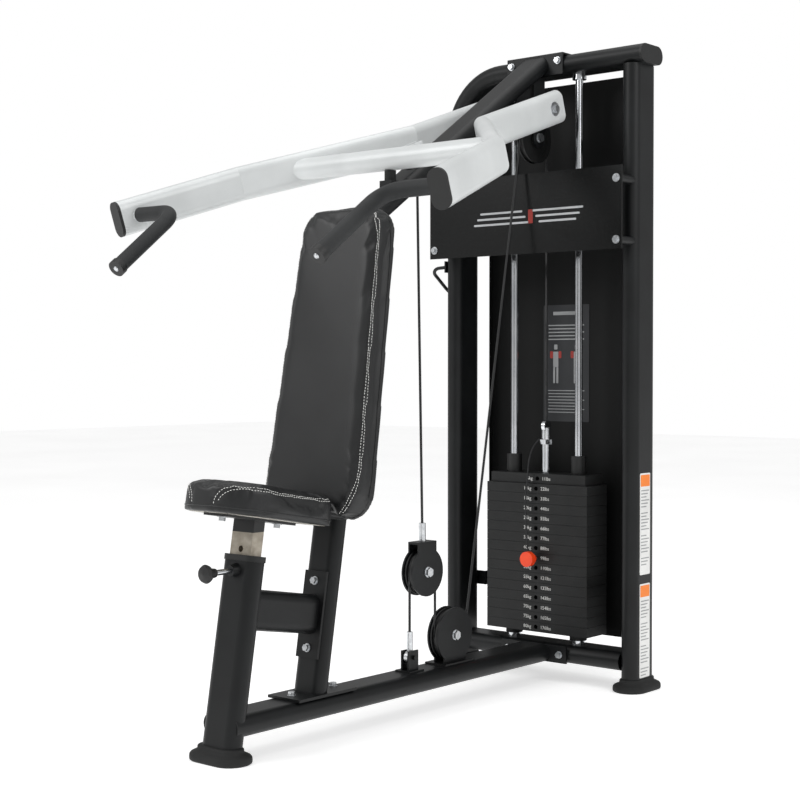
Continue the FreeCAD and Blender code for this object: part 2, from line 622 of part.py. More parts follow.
# Handles: a tube welded to the inner face of each arm, bent forwards and down.
def handle_path(side, from_start, from_end, offset=0.0):
    """The handle's centreline, shortened at either end."""
    root_point = on_arm(side * (val("tip_half") - 12), val("arm_tip") - 32)
    bend = Vec(side * val("handle_in"), root_point.y - 4, root_point.z - 2)
    drop = math.radians(val("handle_drop"))
    reach = val("handle_reach")
    tip = bend + Vec(-side * 13, -reach * math.cos(drop), -reach * math.sin(drop))
    first, last = (bend - root_point).normalize(), (tip - bend).normalize()
    return rounded_path([root_point + first * from_start, bend, tip - last * from_end],
                        [val("handle_bend_radius")]), last, tip


grips, collars = [], []
for side, word, arm, arm_solid in ((1, "right", arm_right, arm_solids[0]),
                                   (-1, "left", arm_left, arm_solids[1])):
    path, last, tip = handle_path(side, 0, 6)
    core = swept("handle_core_" + word, path, round_section("handle_section_" + word, "handle_dia"), Z_AXIS)
    core_cut = minus("handle_cut_" + word, core, arm_solid)
    keep(plus("arm_weldment_" + word, arm, core_cut), "arm_" + word)
    path, last, tip = handle_path(side, 24, 14)
    sleeve = swept("grip_sleeve_" + word, path, round_section("grip_section_" + word, "grip_dia"), Z_AXIS)
    path, last, tip = handle_path(side, 0, 0)
    inner = swept("grip_inner_" + word, path, round_section("grip_bore_" + word, "handle_dia"), Z_AXIS)
    grips.append(minus("grip_" + word, sleeve, inner))
    ring = doc.addObject("Part::Cylinder", "grip_ring_" + word)
    ring.setExpression("Radius", bound("grip_dia/2 + 2"))
    ring.Height = 14
    ring.Placement = FreeCAD.Placement(tip - last * 13.9, Rot(Z_AXIS, last))
    core_tip = doc.addObject("Part::Cylinder", "grip_ring_bore_" + word)
    core_tip.setExpression("Radius", bound("handle_dia/2"))
    core_tip.Height = 20
    core_tip.Placement = FreeCAD.Placement(tip - last * 26, Rot(Z_AXIS, last))
    collars.append(minus("grip_end_" + word, ring, core_tip))
keep(plus("grips", *grips), "hand_grips")
keep(plus("grip_ends", *collars), "grip_end_collars")

# Lug: two cheeks from the crossbar's rear towards the cable's eye, each with its half of the pin.
LUG = Vec(0, -val("lug_y"), val("lug_up"))
lug_heading = LUG - cross_spot


def lug_cheek(name, side):
    """One cheek: a bar along the line from the crossbar to the eye."""
    item = doc.addObject("Part::Box", name)
    item.Length = 5
    item.Width = lug_heading.Length + 12
    item.Height = 26
    along = Rot(X_AXIS, Vec(lug_heading).normalize(), Z_AXIS, "XYZ")
    item.Placement = FreeCAD.Placement(cross_spot + Vec(side * (val("lug_gap") / 2 + 2.5) - 2.5, 0, 0)
                                       + along.multVec(Vec(0, 0, -13)), along)
    return item


lug_pin = drum("lug_pin", "4", "lug_gap/2 + 9", ("0", "-lug_y", "lug_up"))
lug_raw = plus("lug_raw", lug_cheek("lug_cheek_right", 1), lug_cheek("lug_cheek_left", -1), lug_pin)
lug_room = box("lug_room", ("lug_gap", "80", "80"), ("0", "-lug_y", "lug_up"))
keep(minus("lug", lug_raw, cross_raw, lug_room), "cable_lug")

# Bumper under the crossbar, on a small bracket on top of the brace.
bumper_y = cross_spot.y
brace_top_z = elbow.z + (bumper_y - elbow.y) * math.tan(slope) + val("post_deep") / 2 / math.cos(slope)
bumper_top_z = cross_spot.z - val("crossbar_dia") / 2 - 0.2
bumper_radius = 13
bumper_foot_z = brace_top_z + 11
rubber = doc.addObject("Part::Cylinder", "rubber")
rubber.Radius = bumper_radius
rubber.Height = bumper_top_z - bumper_foot_z
rubber.Placement = FreeCAD.Placement(Vec(0, bumper_y, bumper_foot_z), Rot())
keep(rubber, "arm_bumper")
stand_side, stand_tall = 34, 40
stand_box = doc.addObject("Part::Box", "bumper_stand")
stand_box.Length, stand_box.Width, stand_box.Height = stand_side, stand_side, stand_tall
stand_box.Placement = FreeCAD.Placement(Vec(-stand_side / 2, bumper_y - stand_side / 2,
                                            bumper_foot_z - 0.1 - stand_tall), Rot())
bumper_base = minus("bumper_base", stand_box, spine_raw)
keep(plus("spine_weldment", spine, post_plate, saddle_front, saddle_top, bumper_base, *back_mounts),
     "backrest_spine")

# ---------------------------------------------------------------- weight stack
def pair_rods(name, radius, low, height):
    """Two upright cylinders on the guide rods' axes."""
    return [rod("%s_%d" % (name, n), radius, height, ("%s*rod_half" % s, "0", low))
            for n, s in enumerate(("1", "-1"))]


STACK_TOP = "(stack_low + (plates_left + plates_lifted)*plate_pitch)"
rods = pair_rods("guide_rod", "rod_dia/2", BEAM_TOP, TOP_UNDER + " - " + BEAM_TOP)
collar_solids = pair_rods("rod_collar_low", "rod_dia/2 + 8", BEAM_TOP, "10")
collar_solids += pair_rods("rod_collar_high", "rod_dia/2 + 8", TOP_UNDER + " - 14", "14")
keep(plus("rods_and_collars", *(rods + collar_solids)), "guide_rods")
spring_low = "(" + BEAM_TOP + " + 10)"
spring_solids = pair_rods("stack_spring", "rod_dia/2 + 12", spring_low, "stack_low - %s - 0.2" % spring_low)
spring_bores = pair_rods("stack_spring_bore", "rod_dia/2", spring_low, "stack_low")
keep(minus("springs", plus("spring_solids", *spring_solids), *spring_bores), "stack_buffers")


def weight(name, level):
    """One plate: holes for the guide rods, the selector rod and the pin."""
    low = "stack_low + %d*plate_pitch" % level
    middle = low + " + (plate_pitch - plate_gap)/2"
    block = box(name + "_block", ("2*plate_half", "plate_deep", "plate_pitch - plate_gap"), ("0", "0", middle))
    low_start = low + " - plate_pitch"
    tools = pair_rods(name + "_guide", "guide_hole/2", low_start, "3*plate_pitch")
    tools.append(rod(name + "_centre", "selector_hole/2", "3*plate_pitch", ("0", "0", low_start)))
    tools.append(rod(name + "_pin", "pin_hole/2", "plate_deep/2 + 1", ("0", "-plate_deep/2 - 1", middle), Y_AXIS))
    return minus(name, block, *tools)


left = int(val("plates_left"))
lifted = int(val("plates_lifted"))
keep(plus("resting", *[weight("plate_%d" % n, n) for n in range(left)]), "resting_plates")
keep(plus("lifted", *[weight("plate_%d" % n, n) for n in range(left, left + lifted)]), "lifted_plates")

top_low = STACK_TOP
top_block = box("top_block", ("2*(plate_half - 9)", "plate_deep - 12", "plate_pitch"),
                ("0", "0", top_low + " + plate_pitch/2"))
top_tools = pair_rods("top_guide", "guide_hole/2", top_low + " - 5", "2*plate_pitch")
top_tools.append(rod("top_centre", "selector_dia/2", "2*plate_pitch", ("0", "0", top_low + " - 5")))
top_tools.append(rod("top_pin", "pin_hole/2", "plate_deep/2 + 1",
                     ("0", "-plate_deep/2 - 1", top_low + " + plate_pitch/2"), Y_AXIS))
keep(minus("top_plate_cut", top_block, *top_tools), "top_plate")
bush_solids = pair_rods("bush", "bush_dia/2", top_low + " + plate_pitch", "bush_tall")
bush_bores = pair_rods("bush_bore", "rod_dia/2 + 0.4", top_low, "2*bush_tall + plate_pitch")
keep(minus("bushes", plus("bush_solids", *bush_solids), *bush_bores), "guide_bushes")

selector_low = "(stack_low + 6)"
selector = rod("selector_bar", "selector_dia/2", "rod_head_top - 40 - " + selector_low, ("0", "0", selector_low))
levels = range(left + lifted + 1)
cross_holes = [rod("selector_hole_%d" % n, "pin_hole/2", "2*selector_dia",
                   ("0", "-selector_dia", "stack_low + %d*plate_pitch + (plate_pitch - plate_gap)/2" % n), Y_AXIS)
               for n in levels]
selector_drilled = minus("selector_drilled", selector, *cross_holes)
head_low = "(rod_head_top - 40)"
head_nut = doc.addObject("Part::Prism", "head_nut")
head_nut.Polygon = 6
head_nut.Circumradius = 17
head_nut.Height = 12
lay(head_nut, ("0", "0", head_low + " - 14"))
head_barrel = rod("head_barrel", "11", "28", ("0", "0", head_low))
head_eye = drum("head_eye", "15", "5", ("0", "0", "rod_head_top - 8"))
head_bore = rod("head_bore", "cable_dia/2 + 0.1", "120", ("0", "0", "rod_head_top - 8"))
head = minus("head", plus("head_solid", head_nut, head_barrel, head_eye), head_bore)
keep(plus("selector_and_head", selector_drilled, head), "selector_rod")

pin_up = "(stack_low + plates_left*plate_pitch + (plate_pitch - plate_gap)/2)"
keep(rod("pin_bar", "pin_dia/2", "plate_deep/2 + selector_dia/2 + 34",
         ("0", "-plate_deep/2 - 32", pin_up), Y_AXIS), "selector_pin")
knob_disc = rod("knob_disc", "pin_knob_dia/2", "14", ("0", "-plate_deep/2 - 42", pin_up), Y_AXIS)
knob_neck = rod("knob_neck", "pin_knob_dia/2 - 7", "16", ("0", "-plate_deep/2 - 30", pin_up), Y_AXIS)
knob_room = rod("knob_room", "pin_dia/2", "60", ("0", "-plate_deep/2 - 32", pin_up), Y_AXIS)
keep(minus("pin_knob_cut", plus("pin_knob_solid", knob_disc, knob_neck), knob_room), "selector_pin_knob")

# ---------------------------------------------------------------- covers
panel_mid = "(panel_low + panel_high)/2"
keep(box("panel", ("2*panel_half", "panel_thick", "panel_high - panel_low"),
         ("0", "-panel_front + panel_thick/2", panel_mid)), "front_panel")
spacer_spots = [(s, z) for s in ("1", "-1") for z in ("panel_low + 22", "panel_high - 30")]
spacers = [rod("spacer_%d" % n, "spacer_dia/2", "panel_front - panel_thick - 22",
               ("%s*panel_bolt_half" % s, "-panel_front + panel_thick", z), Y_AXIS)
           for n, (s, z) in enumerate(spacer_spots)]
upright_room = [oval_body("upright_room_%d" % n, "tube_wide", "tube_thin", "panel_high",
                          ("%s*upright_half" % s, "0", "panel_low - 100"), turn(Z_AXIS, 90))
                for n, s in enumerate(("1", "-1"))]
panel_spacers = minus("panel_spacers", plus("spacer_solids", *spacers), *upright_room)

cover_mid = "(cover_low + cover_high)/2"
cover_tall = "cover_high - cover_low"
cover_sheet = box("cover_sheet", ("2*cover_half", "cover_thick", cover_tall),
                  ("0", "cover_back - cover_thick/2", cover_mid))
cover_rims = [box("cover_rim_%d" % n, ("cover_thick", "cover_rim", cover_tall),
                  ("%s*(cover_half - cover_thick/2)" % s, "cover_back - cover_rim/2", cover_mid))
              for n, s in enumerate(("1", "-1"))]
keep(plus("cover", cover_sheet, *cover_rims), "rear_cover")


def cover_tab(name, side, up):
    """An angle from the upright's rear edge to the cover."""
    foot_leaf = box(name + "_leaf", ("4", "40", "36"),
                    ("%s*(cover_half - 8)" % side, "cover_back - cover_thick - 20", up))
    arm_leaf = box(name + "_reach", ("upright_half - cover_half + 10", "4", "36"),
                   ("%s*(upright_half + cover_half - 10)/2" % side, "tube_wide/2 + 2", up))
    return plus(name, foot_leaf, arm_leaf)


tabs = [cover_tab("tab_%d_%d" % (n, m), s, up) for n, s in enumerate(("1", "-1"))
        for m, up in enumerate(("cover_low + 120", "cover_high - 160"))]
keep(plus("standoffs", panel_spacers, *tabs), "cover_standoffs")
placard = box("placard", ("placard_wide", "1", "placard_tall"),
              ("0", "cover_back - cover_thick - 0.5", "placard_low + placard_tall/2"))

# ---------------------------------------------------------------- pulleys and cables
cable_r = val("cable_dia") / 2
BLOCK = Vec(0, -val("block_y"), val("block_up"))
BASE = Vec(0, -val("base_y"), val("base_up"))
TOP = Vec(0, -val("top_y"), val("top_up"))
small_run = val("block_groove") + cable_r
big_run = val("big_groove") + cable_r


def pulley(label, centre, groove):
    """A grooved wheel on a bearing ring: turned rim, round groove, bored hub."""
    x, y, z = centre
    wheel = drum(label + "_disc", "%s + pulley_rim" % groove, "pulley_wide/2", centre)
    ring = doc.addObject("Part::Torus", label + "_groove")
    ring.setExpression("Radius1", bound("%s + cable_dia/2 + 3" % groove))
    ring.setExpression("Radius2", bound("cable_dia/2 + 3.2"))
    lay(ring, centre, Rot(Z_AXIS, X_AXIS))
    seat = drum(label + "_seat", "pulley_bore/2 + 8", "pulley_wide", centre)
    relief = [drum(label + "_relief_%d" % s, "%s - 8" % groove, "2.5",
                   ("%d*pulley_wide/2" % s, y, z)) for s in (1, -1)]
    hubs = [drum(label + "_hub_%d" % s, "pulley_bore/2 + 13", "5",
                 ("%d*pulley_wide/2" % s, y, z)) for s in (1, -1)]
    dish = minus(label + "_dish", plus(label + "_reliefs", *relief), *hubs)
    keep(minus(label, wheel, ring, seat, dish), label)
    race = drum(label + "_race", "pulley_bore/2 + 8", "pulley_wide/2", centre)
    bore = drum(label + "_bore", "pulley_bore/2 + 0.05", "pulley_wide", centre)
    return minus(label + "_bearing_cut", race, bore)


block_at = ("0", "-block_y", "block_up")
base_at = ("0", "-base_y", "base_up")
top_at = ("0", "-top_y", "top_up")
keep(pulley("block_pulley", block_at, "block_groove"), "block_pulley_bearing")
keep(pulley("base_pulley", base_at, "big_groove"), "base_pulley_bearing")
keep(pulley("top_pulley", top_at, "big_groove"), "top_pulley_bearing")
CHEEK_IN = "(pulley_wide/2 + cheek_gap)"
CHEEK_OUT = "(pulley_wide/2 + cheek_gap + cheek_thick)"


def cheeks(name, shape):
    """Two like plates, one each side of a pulley."""
    return [shape("%s_%d" % (name, n), "%s*(%s + cheek_thick/2)" % (s, CHEEK_IN)) for n, s in
            enumerate(("1", "-1"))]


def disc_cheek(centre, radius):
    """A maker of round cheek plates."""
    return lambda name, x: drum(name, radius, "cheek_thick/2", (x, centre[1], centre[2]))


def bar_cheek(centre, wide, low, high):
    """A maker of upright flat cheeks between two heights."""
    return lambda name, x: box(name, ("cheek_thick", wide, "(%s) - (%s)" % (high, low)),
                               (x, centre[1], "((%s) + (%s))/2" % (high, low)))


def axle(label, centre, middle):
    """A pulley's bolt: a shaft through the cheeks with a hexagon head at each end."""
    shaft = drum(label + "_shaft", "pulley_bore/2", CHEEK_OUT, centre)
    reach = val("pulley_wide") / 2 + val("cheek_gap") + val("cheek_thick")
    ends = [bolt("%s_end_%d" % (label, s), middle + Vec(s * reach, 0, 0), Vec(s, 0, 0), 19, 0, 24)
            for s in (1, -1)]
    return plus(label, shaft, *ends)


def bored(name, shape, centre):
    """The shape with the pulley bolt's hole through it."""
    return minus(name, shape, drum(name + "_bolt_room", "pulley_bore/2", "80", centre))


# Floating block: a U of two rounded cheeks and a top plate, hung from the arm's cable.
block_discs = cheeks("block_disc", disc_cheek(block_at, "block_groove + pulley_rim + 4"))
block_tops = cheeks("block_top", bar_cheek(block_at, "64", "block_up", "block_up + block_groove + 22"))
bridge = box("block_bridge", ("2*" + CHEEK_OUT, "64", "5"),
             ("0", "-block_y", "block_up + block_groove + 22 + 2.5"))
block_body = bored("block_body", plus("block_solid", bridge, *(block_discs + block_tops)), block_at)
keep(block_body, "block_housing")
keep(axle("block_bolt", block_at, BLOCK), "block_pulley_bolt")

# Base pulley: guard cheeks on a foot bolted to the beam.
base_discs = cheeks("base_disc", disc_cheek(base_at, "big_groove + pulley_rim + 3"))
base_legs = cheeks("base_leg", bar_cheek(base_at, "80", BEAM_TOP, "base_up"))
base_foot = box("base_foot", ("2*%s + 30" % CHEEK_OUT, "110", "4"), ("0", "-base_y", BEAM_TOP + " + 2"))
floor_room = box("base_floor_room", ("200", "300", "60"), ("0", "-base_y", BEAM_TOP + " - 30"))
wheel_room = drum("base_wheel_room", "big_groove + pulley_rim + 1", "pulley_wide/2 + 1", base_at)
base_solid = plus("base_solid", base_foot, *(base_discs + base_legs))
base_bracket = bored("base_body", minus("base_trim", base_solid, floor_room, wheel_room), base_at)
base_bolt = axle("base_bolt", base_at, BASE)

# Top pulley: two cheeks hung from the top tube.
top_discs = cheeks("top_disc", disc_cheek(top_at, "24"))
top_bars = cheeks("top_bar", bar_cheek(top_at, "48", "top_up", TOP_UNDER))
top_solid = minus("top_trim", plus("top_solid", *(top_discs + top_bars)), spine_raw, saddle_front)
top_bracket = bored("top_body", top_solid, top_at)
top_bolt = axle("top_bolt", top_at, TOP)
keep(plus("pulley_bolts", base_bolt, top_bolt), "pulley_bolts")

# Anchor: a clevis on the beam that holds the cable's fixed end in a swaged sleeve.
ANCHOR_Y = "(block_y + block_groove + cable_dia/2)"
anchor_foot = box("anchor_foot", ("44", "50", "4"), ("0", "-" + ANCHOR_Y, BEAM_TOP + " + 2"))
anchor_ears = [box("anchor_ear_%d" % n, ("4", "34", "44"),
                   ("%s*10" % s, "-" + ANCHOR_Y, BEAM_TOP + " + 4 + 22")) for n, s in enumerate(("1", "-1"))]
anchor_pin = drum("anchor_pin", "5", "18", ("0", "-" + ANCHOR_Y, "anchor_up"))
anchor = plus("anchor", anchor_foot, anchor_pin, *anchor_ears)
keep(plus("brackets", base_bracket, top_bracket, anchor), "pulley_brackets")
sleeve_low = "(anchor_up + 14)"
eye_ring = drum("anchor_eye", "15", "5", ("0", "-" + ANCHOR_Y, "anchor_up"))
eye_bore = drum("anchor_eye_bore", "5.2", "12", ("0", "-" + ANCHOR_Y, "anchor_up"))
sleeve = rod("anchor_sleeve", "7", "44", ("0", "-" + ANCHOR_Y, sleeve_low))
sleeve_bore = rod("anchor_sleeve_bore", "cable_dia/2", "40", ("0", "-" + ANCHOR_Y, sleeve_low + " + 8"))
keep(minus("anchor_end", plus("anchor_end_solid", eye_ring, sleeve), eye_bore, sleeve_bore),
     "anchor_cable_sleeve")


def cable(label, path):
    """A length of coated wire cable along a path."""
    section = round_section(label + "_section", "cable_dia")
    return swept(label, path, section, X_AXIS)


def straight(start, end):
    return Part.Wire([Part.LineSegment(start, end).toShape()])


def arc(start, middle, end):
    return Part.Arc(start, middle, end).toShape()


sleeve_seat = val("anchor_up") + 22
front_y = -val("block_y") - small_run
rear_y = -val("block_y") + small_run
anchor_strand = cable("anchor_strand", straight(Vec(0, front_y, sleeve_seat), Vec(0, front_y, BLOCK.z)))
base_strand = cable("base_strand", straight(Vec(0, rear_y, BASE.z), Vec(0, rear_y, BLOCK.z)))
keep(plus("front_strands", anchor_strand, base_strand), "cable_front_strands")
block_wrap = cable("block_wrap", Part.Wire([arc(Vec(0, front_y, BLOCK.z), BLOCK + Vec(0, 0, small_run),
                                                Vec(0, rear_y, BLOCK.z))]))

# Under the base pulley, up the long slanting run and over the top pulley: one static route.
between = TOP - BASE
cross_angle = math.asin(2 * big_run / between.Length)
run_heading = math.atan2(between.z, between.y) + cross_angle
heading = Vec(0, math.cos(run_heading), math.sin(run_heading))
square = Vec(0, math.sin(run_heading), -math.cos(run_heading))
run_start, run_end = BASE + square * big_run, TOP - square * big_run
base_low_turn = (Vec(0, -1, 0) + square).normalize()
if base_low_turn.z > 0:
    base_low_turn = base_low_turn * -1
top_turn = (square * -1 + Vec(0, 1, 0)).normalize()
if top_turn.z < 0:
    top_turn = top_turn * -1
drop_y = TOP.y + big_run
run_edges = [arc(Vec(0, BASE.y - big_run, BASE.z), BASE + base_low_turn * big_run, run_start),
             Part.LineSegment(run_start, run_end).toShape(),
             arc(run_end, TOP + top_turn * big_run, Vec(0, drop_y, TOP.z))]
keep(cable("rear_run", Part.Wire(run_edges)), "cable_rear_run")
keep(cable("stack_drop", straight(Vec(0, 0, val("rod_head_top") - 6), Vec(0, drop_y, TOP.z))),
     "cable_stack_drop")
print("cable: block wrap radius", small_run, "base and top wrap radius", big_run)

# The arm's cable: from the ferrule on the floating block up to the lug's pin.
ferrule_low = BLOCK + Vec(0, 0, val("block_groove") + 27)
cable_heading = (LUG - ferrule_low).normalize()
ferrule = doc.addObject("Part::Cylinder", "ferrule")
ferrule.Radius = 8
ferrule.Height = 42
ferrule.Placement = FreeCAD.Placement(ferrule_low, Rot(Z_AXIS, cable_heading))
cable_low, cable_high = ferrule_low + cable_heading * 12, LUG - cable_heading * 40
ferrule_bore = doc.addObject("Part::Cylinder", "ferrule_bore")
ferrule_bore.setExpression("Radius", bound("cable_dia/2"))
ferrule_bore.Height = 60
ferrule_bore.Placement = FreeCAD.Placement(cable_low, Rot(Z_AXIS, cable_heading))
ferrule_cut = minus("ferrule_cut", ferrule, ferrule_bore, bridge)
arm_lift = cable("arm_lift", straight(cable_low, cable_high))
keep(plus("block_cables", block_wrap, arm_lift), "cable_block_lift")
upper_eye = drum("upper_eye", "11", "4.5", ("0", "-lug_y", "lug_up"))
upper_sleeve = doc.addObject("Part::Cylinder", "upper_sleeve")
upper_sleeve.Radius = 5.6
upper_sleeve.Height = 44
upper_sleeve.Placement = FreeCAD.Placement(LUG - cable_heading * 52, Rot(Z_AXIS, cable_heading))
upper_bore = drum("upper_bore", "4.4", "12", ("0", "-lug_y", "lug_up"))
upper_cable_room = doc.addObject("Part::Cylinder", "upper_cable_room")
upper_cable_room.setExpression("Radius", bound("cable_dia/2"))
upper_cable_room.Height = 30
upper_cable_room.Placement = FreeCAD.Placement(LUG - cable_heading * 70, Rot(Z_AXIS, cable_heading))
upper_end = minus("upper_end", plus("upper_end_solid", upper_eye, upper_sleeve), upper_bore, upper_cable_room)
keep(plus("lift_ends", ferrule_cut, upper_end), "lift_cable_ends")

# The selector pin's lanyard: a thin cord that hangs from the rod's head down to the pin's knob.
LANYARD = [Vec(-12, -13, 603), Vec(-17, -30, 590), Vec(-20, -49, 553), Vec(-17, -57, 503), Vec(-22, -60, 452),
           Vec(-15, -66, 402), Vec(-9, -72, 354), Vec(-2, -77, 327)]
lanyard_radii = []
for before, corner, after in zip(LANYARD, LANYARD[1:], LANYARD[2:]):
    back, ahead = before - corner, after - corner
    half_turn = (math.pi - back.getAngle(ahead)) / 2
    lanyard_radii.append(0.45 * min(back.Length, ahead.Length) / math.tan(half_turn))
print("lanyard radii", [round(radius) for radius in lanyard_radii])
lanyard_path = rounded_path(LANYARD, lanyard_radii)
lanyard = swept("lanyard", lanyard_path, round_section("lanyard_section", "lanyard_dia"), X_AXIS)
keep(lanyard, "pin_lanyard")

# ---------------------------------------------------------------- bolts, labels and the bottle holder
beam_top = val("base_lift") + val("tube_thin")
beam_mid = val("base_lift") + val("tube_thin") / 2
fixed = []
flange_front = -val("tube_wide") / 2 - val("plate_thick")
for side in (1, -1):
    fixed.append(bolt("flange_bolt_%d" % side, Vec(side * 79, flange_front, beam_mid), Vec(0, -1, 0)))
    fixed.append(bolt("saddle_bolt_%d" % side, Vec(side * 70, -val("tube_wide") / 2 - 4,
                                                   val("tower_height") - 15), Vec(0, -1, 0)))
    for _, up in spacer_spots[:2]:
        height = val("panel_low") + 22 if "low" in up else val("panel_high") - 30
        fixed.append(bolt("panel_bolt_%d_%d" % (side, height),
                          Vec(side * val("panel_bolt_half"), -val("panel_front"), height), Vec(0, -1, 0), 11, 0, 20))
post_foot_y = -val("post_y") + (beam_top + val("plate_thick")) * math.tan(lean) + 6
for offset in (-64, 64):
    fixed.append(bolt("post_bolt_%d" % offset, Vec(0, post_foot_y + offset, beam_top + val("plate_thick")),
                      Z_AXIS))
    fixed.append(bolt("post_nut_%d" % offset, Vec(0, post_foot_y + offset, val("base_lift")), Vec(0, 0, -1)))
link_face = (val("leg_y") - val("post_y")) * math.cos(lean) - val("post_deep") / 2 - val("plate_thick")
link_along = val("link_up") / math.cos(lean)
for offset in (-71, 71):
    fixed.append(bolt("link_bolt_%d" % offset, leaning_point(-val("leg_y"), link_face, link_along + offset),
                      front_lean))
keep(plus("frame_bolts", *fixed), "frame_bolts")

labels = [box("tower_label_%d" % n, ("label_thick", "46", tall),
              ("upright_half + tube_thin/2 + label_thick/2", "-2", centre))
          for n, (centre, tall) in enumerate((("406", "246"), ("147", "228")))]
keep(plus("labels", placard, *labels), "instruction_labels")

hook_x = -val("upright_half") - val("tube_thin") / 2
hook_path = rounded_path([Vec(hook_x - 2, -32, 1050), Vec(hook_x - 50, -46, 1046), Vec(hook_x - 50, 30, 990),
                          Vec(hook_x - 2, 20, 962)], [22, 22])
hook_rod = swept("hook_rod", hook_path, round_section("hook_section", "9"), Z_AXIS)
hook_pads = [box("hook_pad_%d" % n, ("4", "26", "30"), ("-upright_half - tube_thin/2 - 2", y, z))
             for n, (y, z) in enumerate((("-32", "1050"), ("20", "962")))]
keep(plus("hook", hook_rod, *hook_pads), "bottle_holder")

# ---------------------------------------------------------------- checks and files
doc.recompute()
faults = [item.Name for item in doc.Objects if "Invalid" in item.State or "Error" in item.State]
if faults:
    raise RuntimeError("failed objects: " + ", ".join(faults))
names = [item.Label for item in PARTS]
if len(set(names)) != len(names):
    raise RuntimeError("a sub-part's name is used twice")
for item in PARTS:
    if item.Shape.isNull() or not item.Shape.isValid():
        raise RuntimeError("bad shape: " + item.Label)
to_origin = Vec(0, val("leg_y"), 0)
for item in PARTS:
    shape = item.Shape.copy()
    shape.translate(to_origin)
    shape.exportStep("parts/%s.step" % item.Label)
print(len(PARTS), "sub-parts written")
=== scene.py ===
import math

import bmesh
import bpy
from mathutils import Matrix, Vector
from mathutils.bvhtree import BVHTree
from mathutils.kdtree import KDTree


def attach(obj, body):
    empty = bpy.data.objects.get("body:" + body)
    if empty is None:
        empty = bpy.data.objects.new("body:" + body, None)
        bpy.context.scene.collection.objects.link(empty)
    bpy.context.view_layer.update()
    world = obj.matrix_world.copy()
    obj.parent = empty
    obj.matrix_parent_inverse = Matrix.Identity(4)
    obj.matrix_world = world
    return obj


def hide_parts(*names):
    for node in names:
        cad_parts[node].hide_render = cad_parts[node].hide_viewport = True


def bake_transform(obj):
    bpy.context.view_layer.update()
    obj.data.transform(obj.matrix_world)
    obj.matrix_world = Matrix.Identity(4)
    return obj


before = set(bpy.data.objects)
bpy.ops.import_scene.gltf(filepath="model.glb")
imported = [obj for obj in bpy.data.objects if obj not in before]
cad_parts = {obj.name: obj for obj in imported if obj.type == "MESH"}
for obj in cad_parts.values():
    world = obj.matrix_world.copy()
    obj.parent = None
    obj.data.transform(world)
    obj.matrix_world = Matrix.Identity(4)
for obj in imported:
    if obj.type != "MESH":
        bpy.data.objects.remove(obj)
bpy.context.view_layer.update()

look = bpy.context.scene
look.view_settings.view_transform = "Standard"

# ---- Camera: 0.78 m up, off the machine's front right-hand corner, looking nearly level.
camera_data = bpy.data.cameras.new("studio_camera")
camera_data.sensor_width = 36
camera_data.lens = 69.57
camera_data.clip_end = 60
camera = bpy.data.objects.new("studio_camera", camera_data)
camera.location = (2.2528, -2.1110, 0.7818)
camera.rotation_euler = (math.radians(90 - 1.161), 0, math.radians(40.214))
look.collection.objects.link(camera)
look.camera = camera


# ---- Pin lanyard: a 4 mm braided nylon cord that keeps the selector pin with the stack.
# It is tied to the selector rod's head and hangs down the plates' front edge to the pin's knob.
# It is a smooth NURBS line through eight points, made into a tube.
def linear(code):
    """A colour written as sRGB hex, in the linear values that a shader takes."""
    parts = [int(code[place:place + 2], 16) / 255 for place in (1, 3, 5)]
    return (*[c / 12.92 if c <= 0.04045 else ((c + 0.055) / 1.055) ** 2.4 for c in parts], 1.0)


def add_node(material, kind, settings=None, **links):
    """One shader node with its settings, and the sockets that feed its inputs."""
    node = material.node_tree.nodes.new("ShaderNode" + kind)
    for name, value in (settings or {}).items():
        if name[0].islower():
            setattr(node, name, value)
        else:
            node.inputs[name].default_value = value
    for name, source in links.items():
        material.node_tree.links.new(source, node.inputs[name.replace("_", " ")])
    return node


def grained_finish(name, dark, pale, grain_mm, relief_mm, matt, metal=0.0, cloud_mm=90.0):
    """A finish with a fine grain in relief, slow clouds of tone and a slightly uneven sheen."""
    material = bpy.data.materials.new(name)
    material.use_nodes = True
    tree = material.node_tree
    shader = tree.nodes["Principled BSDF"]
    shader.inputs["Metallic"].default_value = metal
    where = add_node(material, "TexCoord").outputs["Object"]
    cloud = add_node(material, "TexNoise", {"Scale": 1000 / cloud_mm, "Detail": 5.0}, Vector=where)
    grain = add_node(material, "TexNoise", {"Scale": 1000 / grain_mm, "Detail": 2.0}, Vector=where)
    tones = add_node(material, "ValToRGB", None, Fac=cloud.outputs["Fac"])
    tones.color_ramp.elements[0].position = 0.35
    tones.color_ramp.elements[0].color = linear(dark)
    tones.color_ramp.elements[1].position = 0.68
    tones.color_ramp.elements[1].color = linear(pale)
    sheen = add_node(material, "MapRange", {"To Min": matt - 0.06, "To Max": matt + 0.08},
                     Value=grain.outputs["Fac"])
    relief = add_node(material, "Bump", {"Strength": 0.6, "Distance": relief_mm / 1000},
                      Height=grain.outputs["Fac"])
    tree.links.new(tones.outputs["Color"], shader.inputs["Base Color"])
    tree.links.new(sheen.outputs["Result"], shader.inputs["Roughness"])
    tree.links.new(relief.outputs["Normal"], shader.inputs["Normal"])
    return material


def new_piece(name, shape, material, body, smooth=True):
    """A finished mesh as an object at the origin, riding on its body."""
    mesh = shape
    if isinstance(shape, bmesh.types.BMesh):
        mesh = bpy.data.meshes.new(name)
        shape.to_mesh(mesh)
        shape.free()
    mesh.name = name
    if smooth:
        mesh.shade_smooth()
    mesh.materials.clear()
    mesh.materials.append(material)
    piece = bpy.data.objects.new(name, mesh)
    look.collection.objects.link(piece)
    if body:
        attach(piece, body)
    return piece


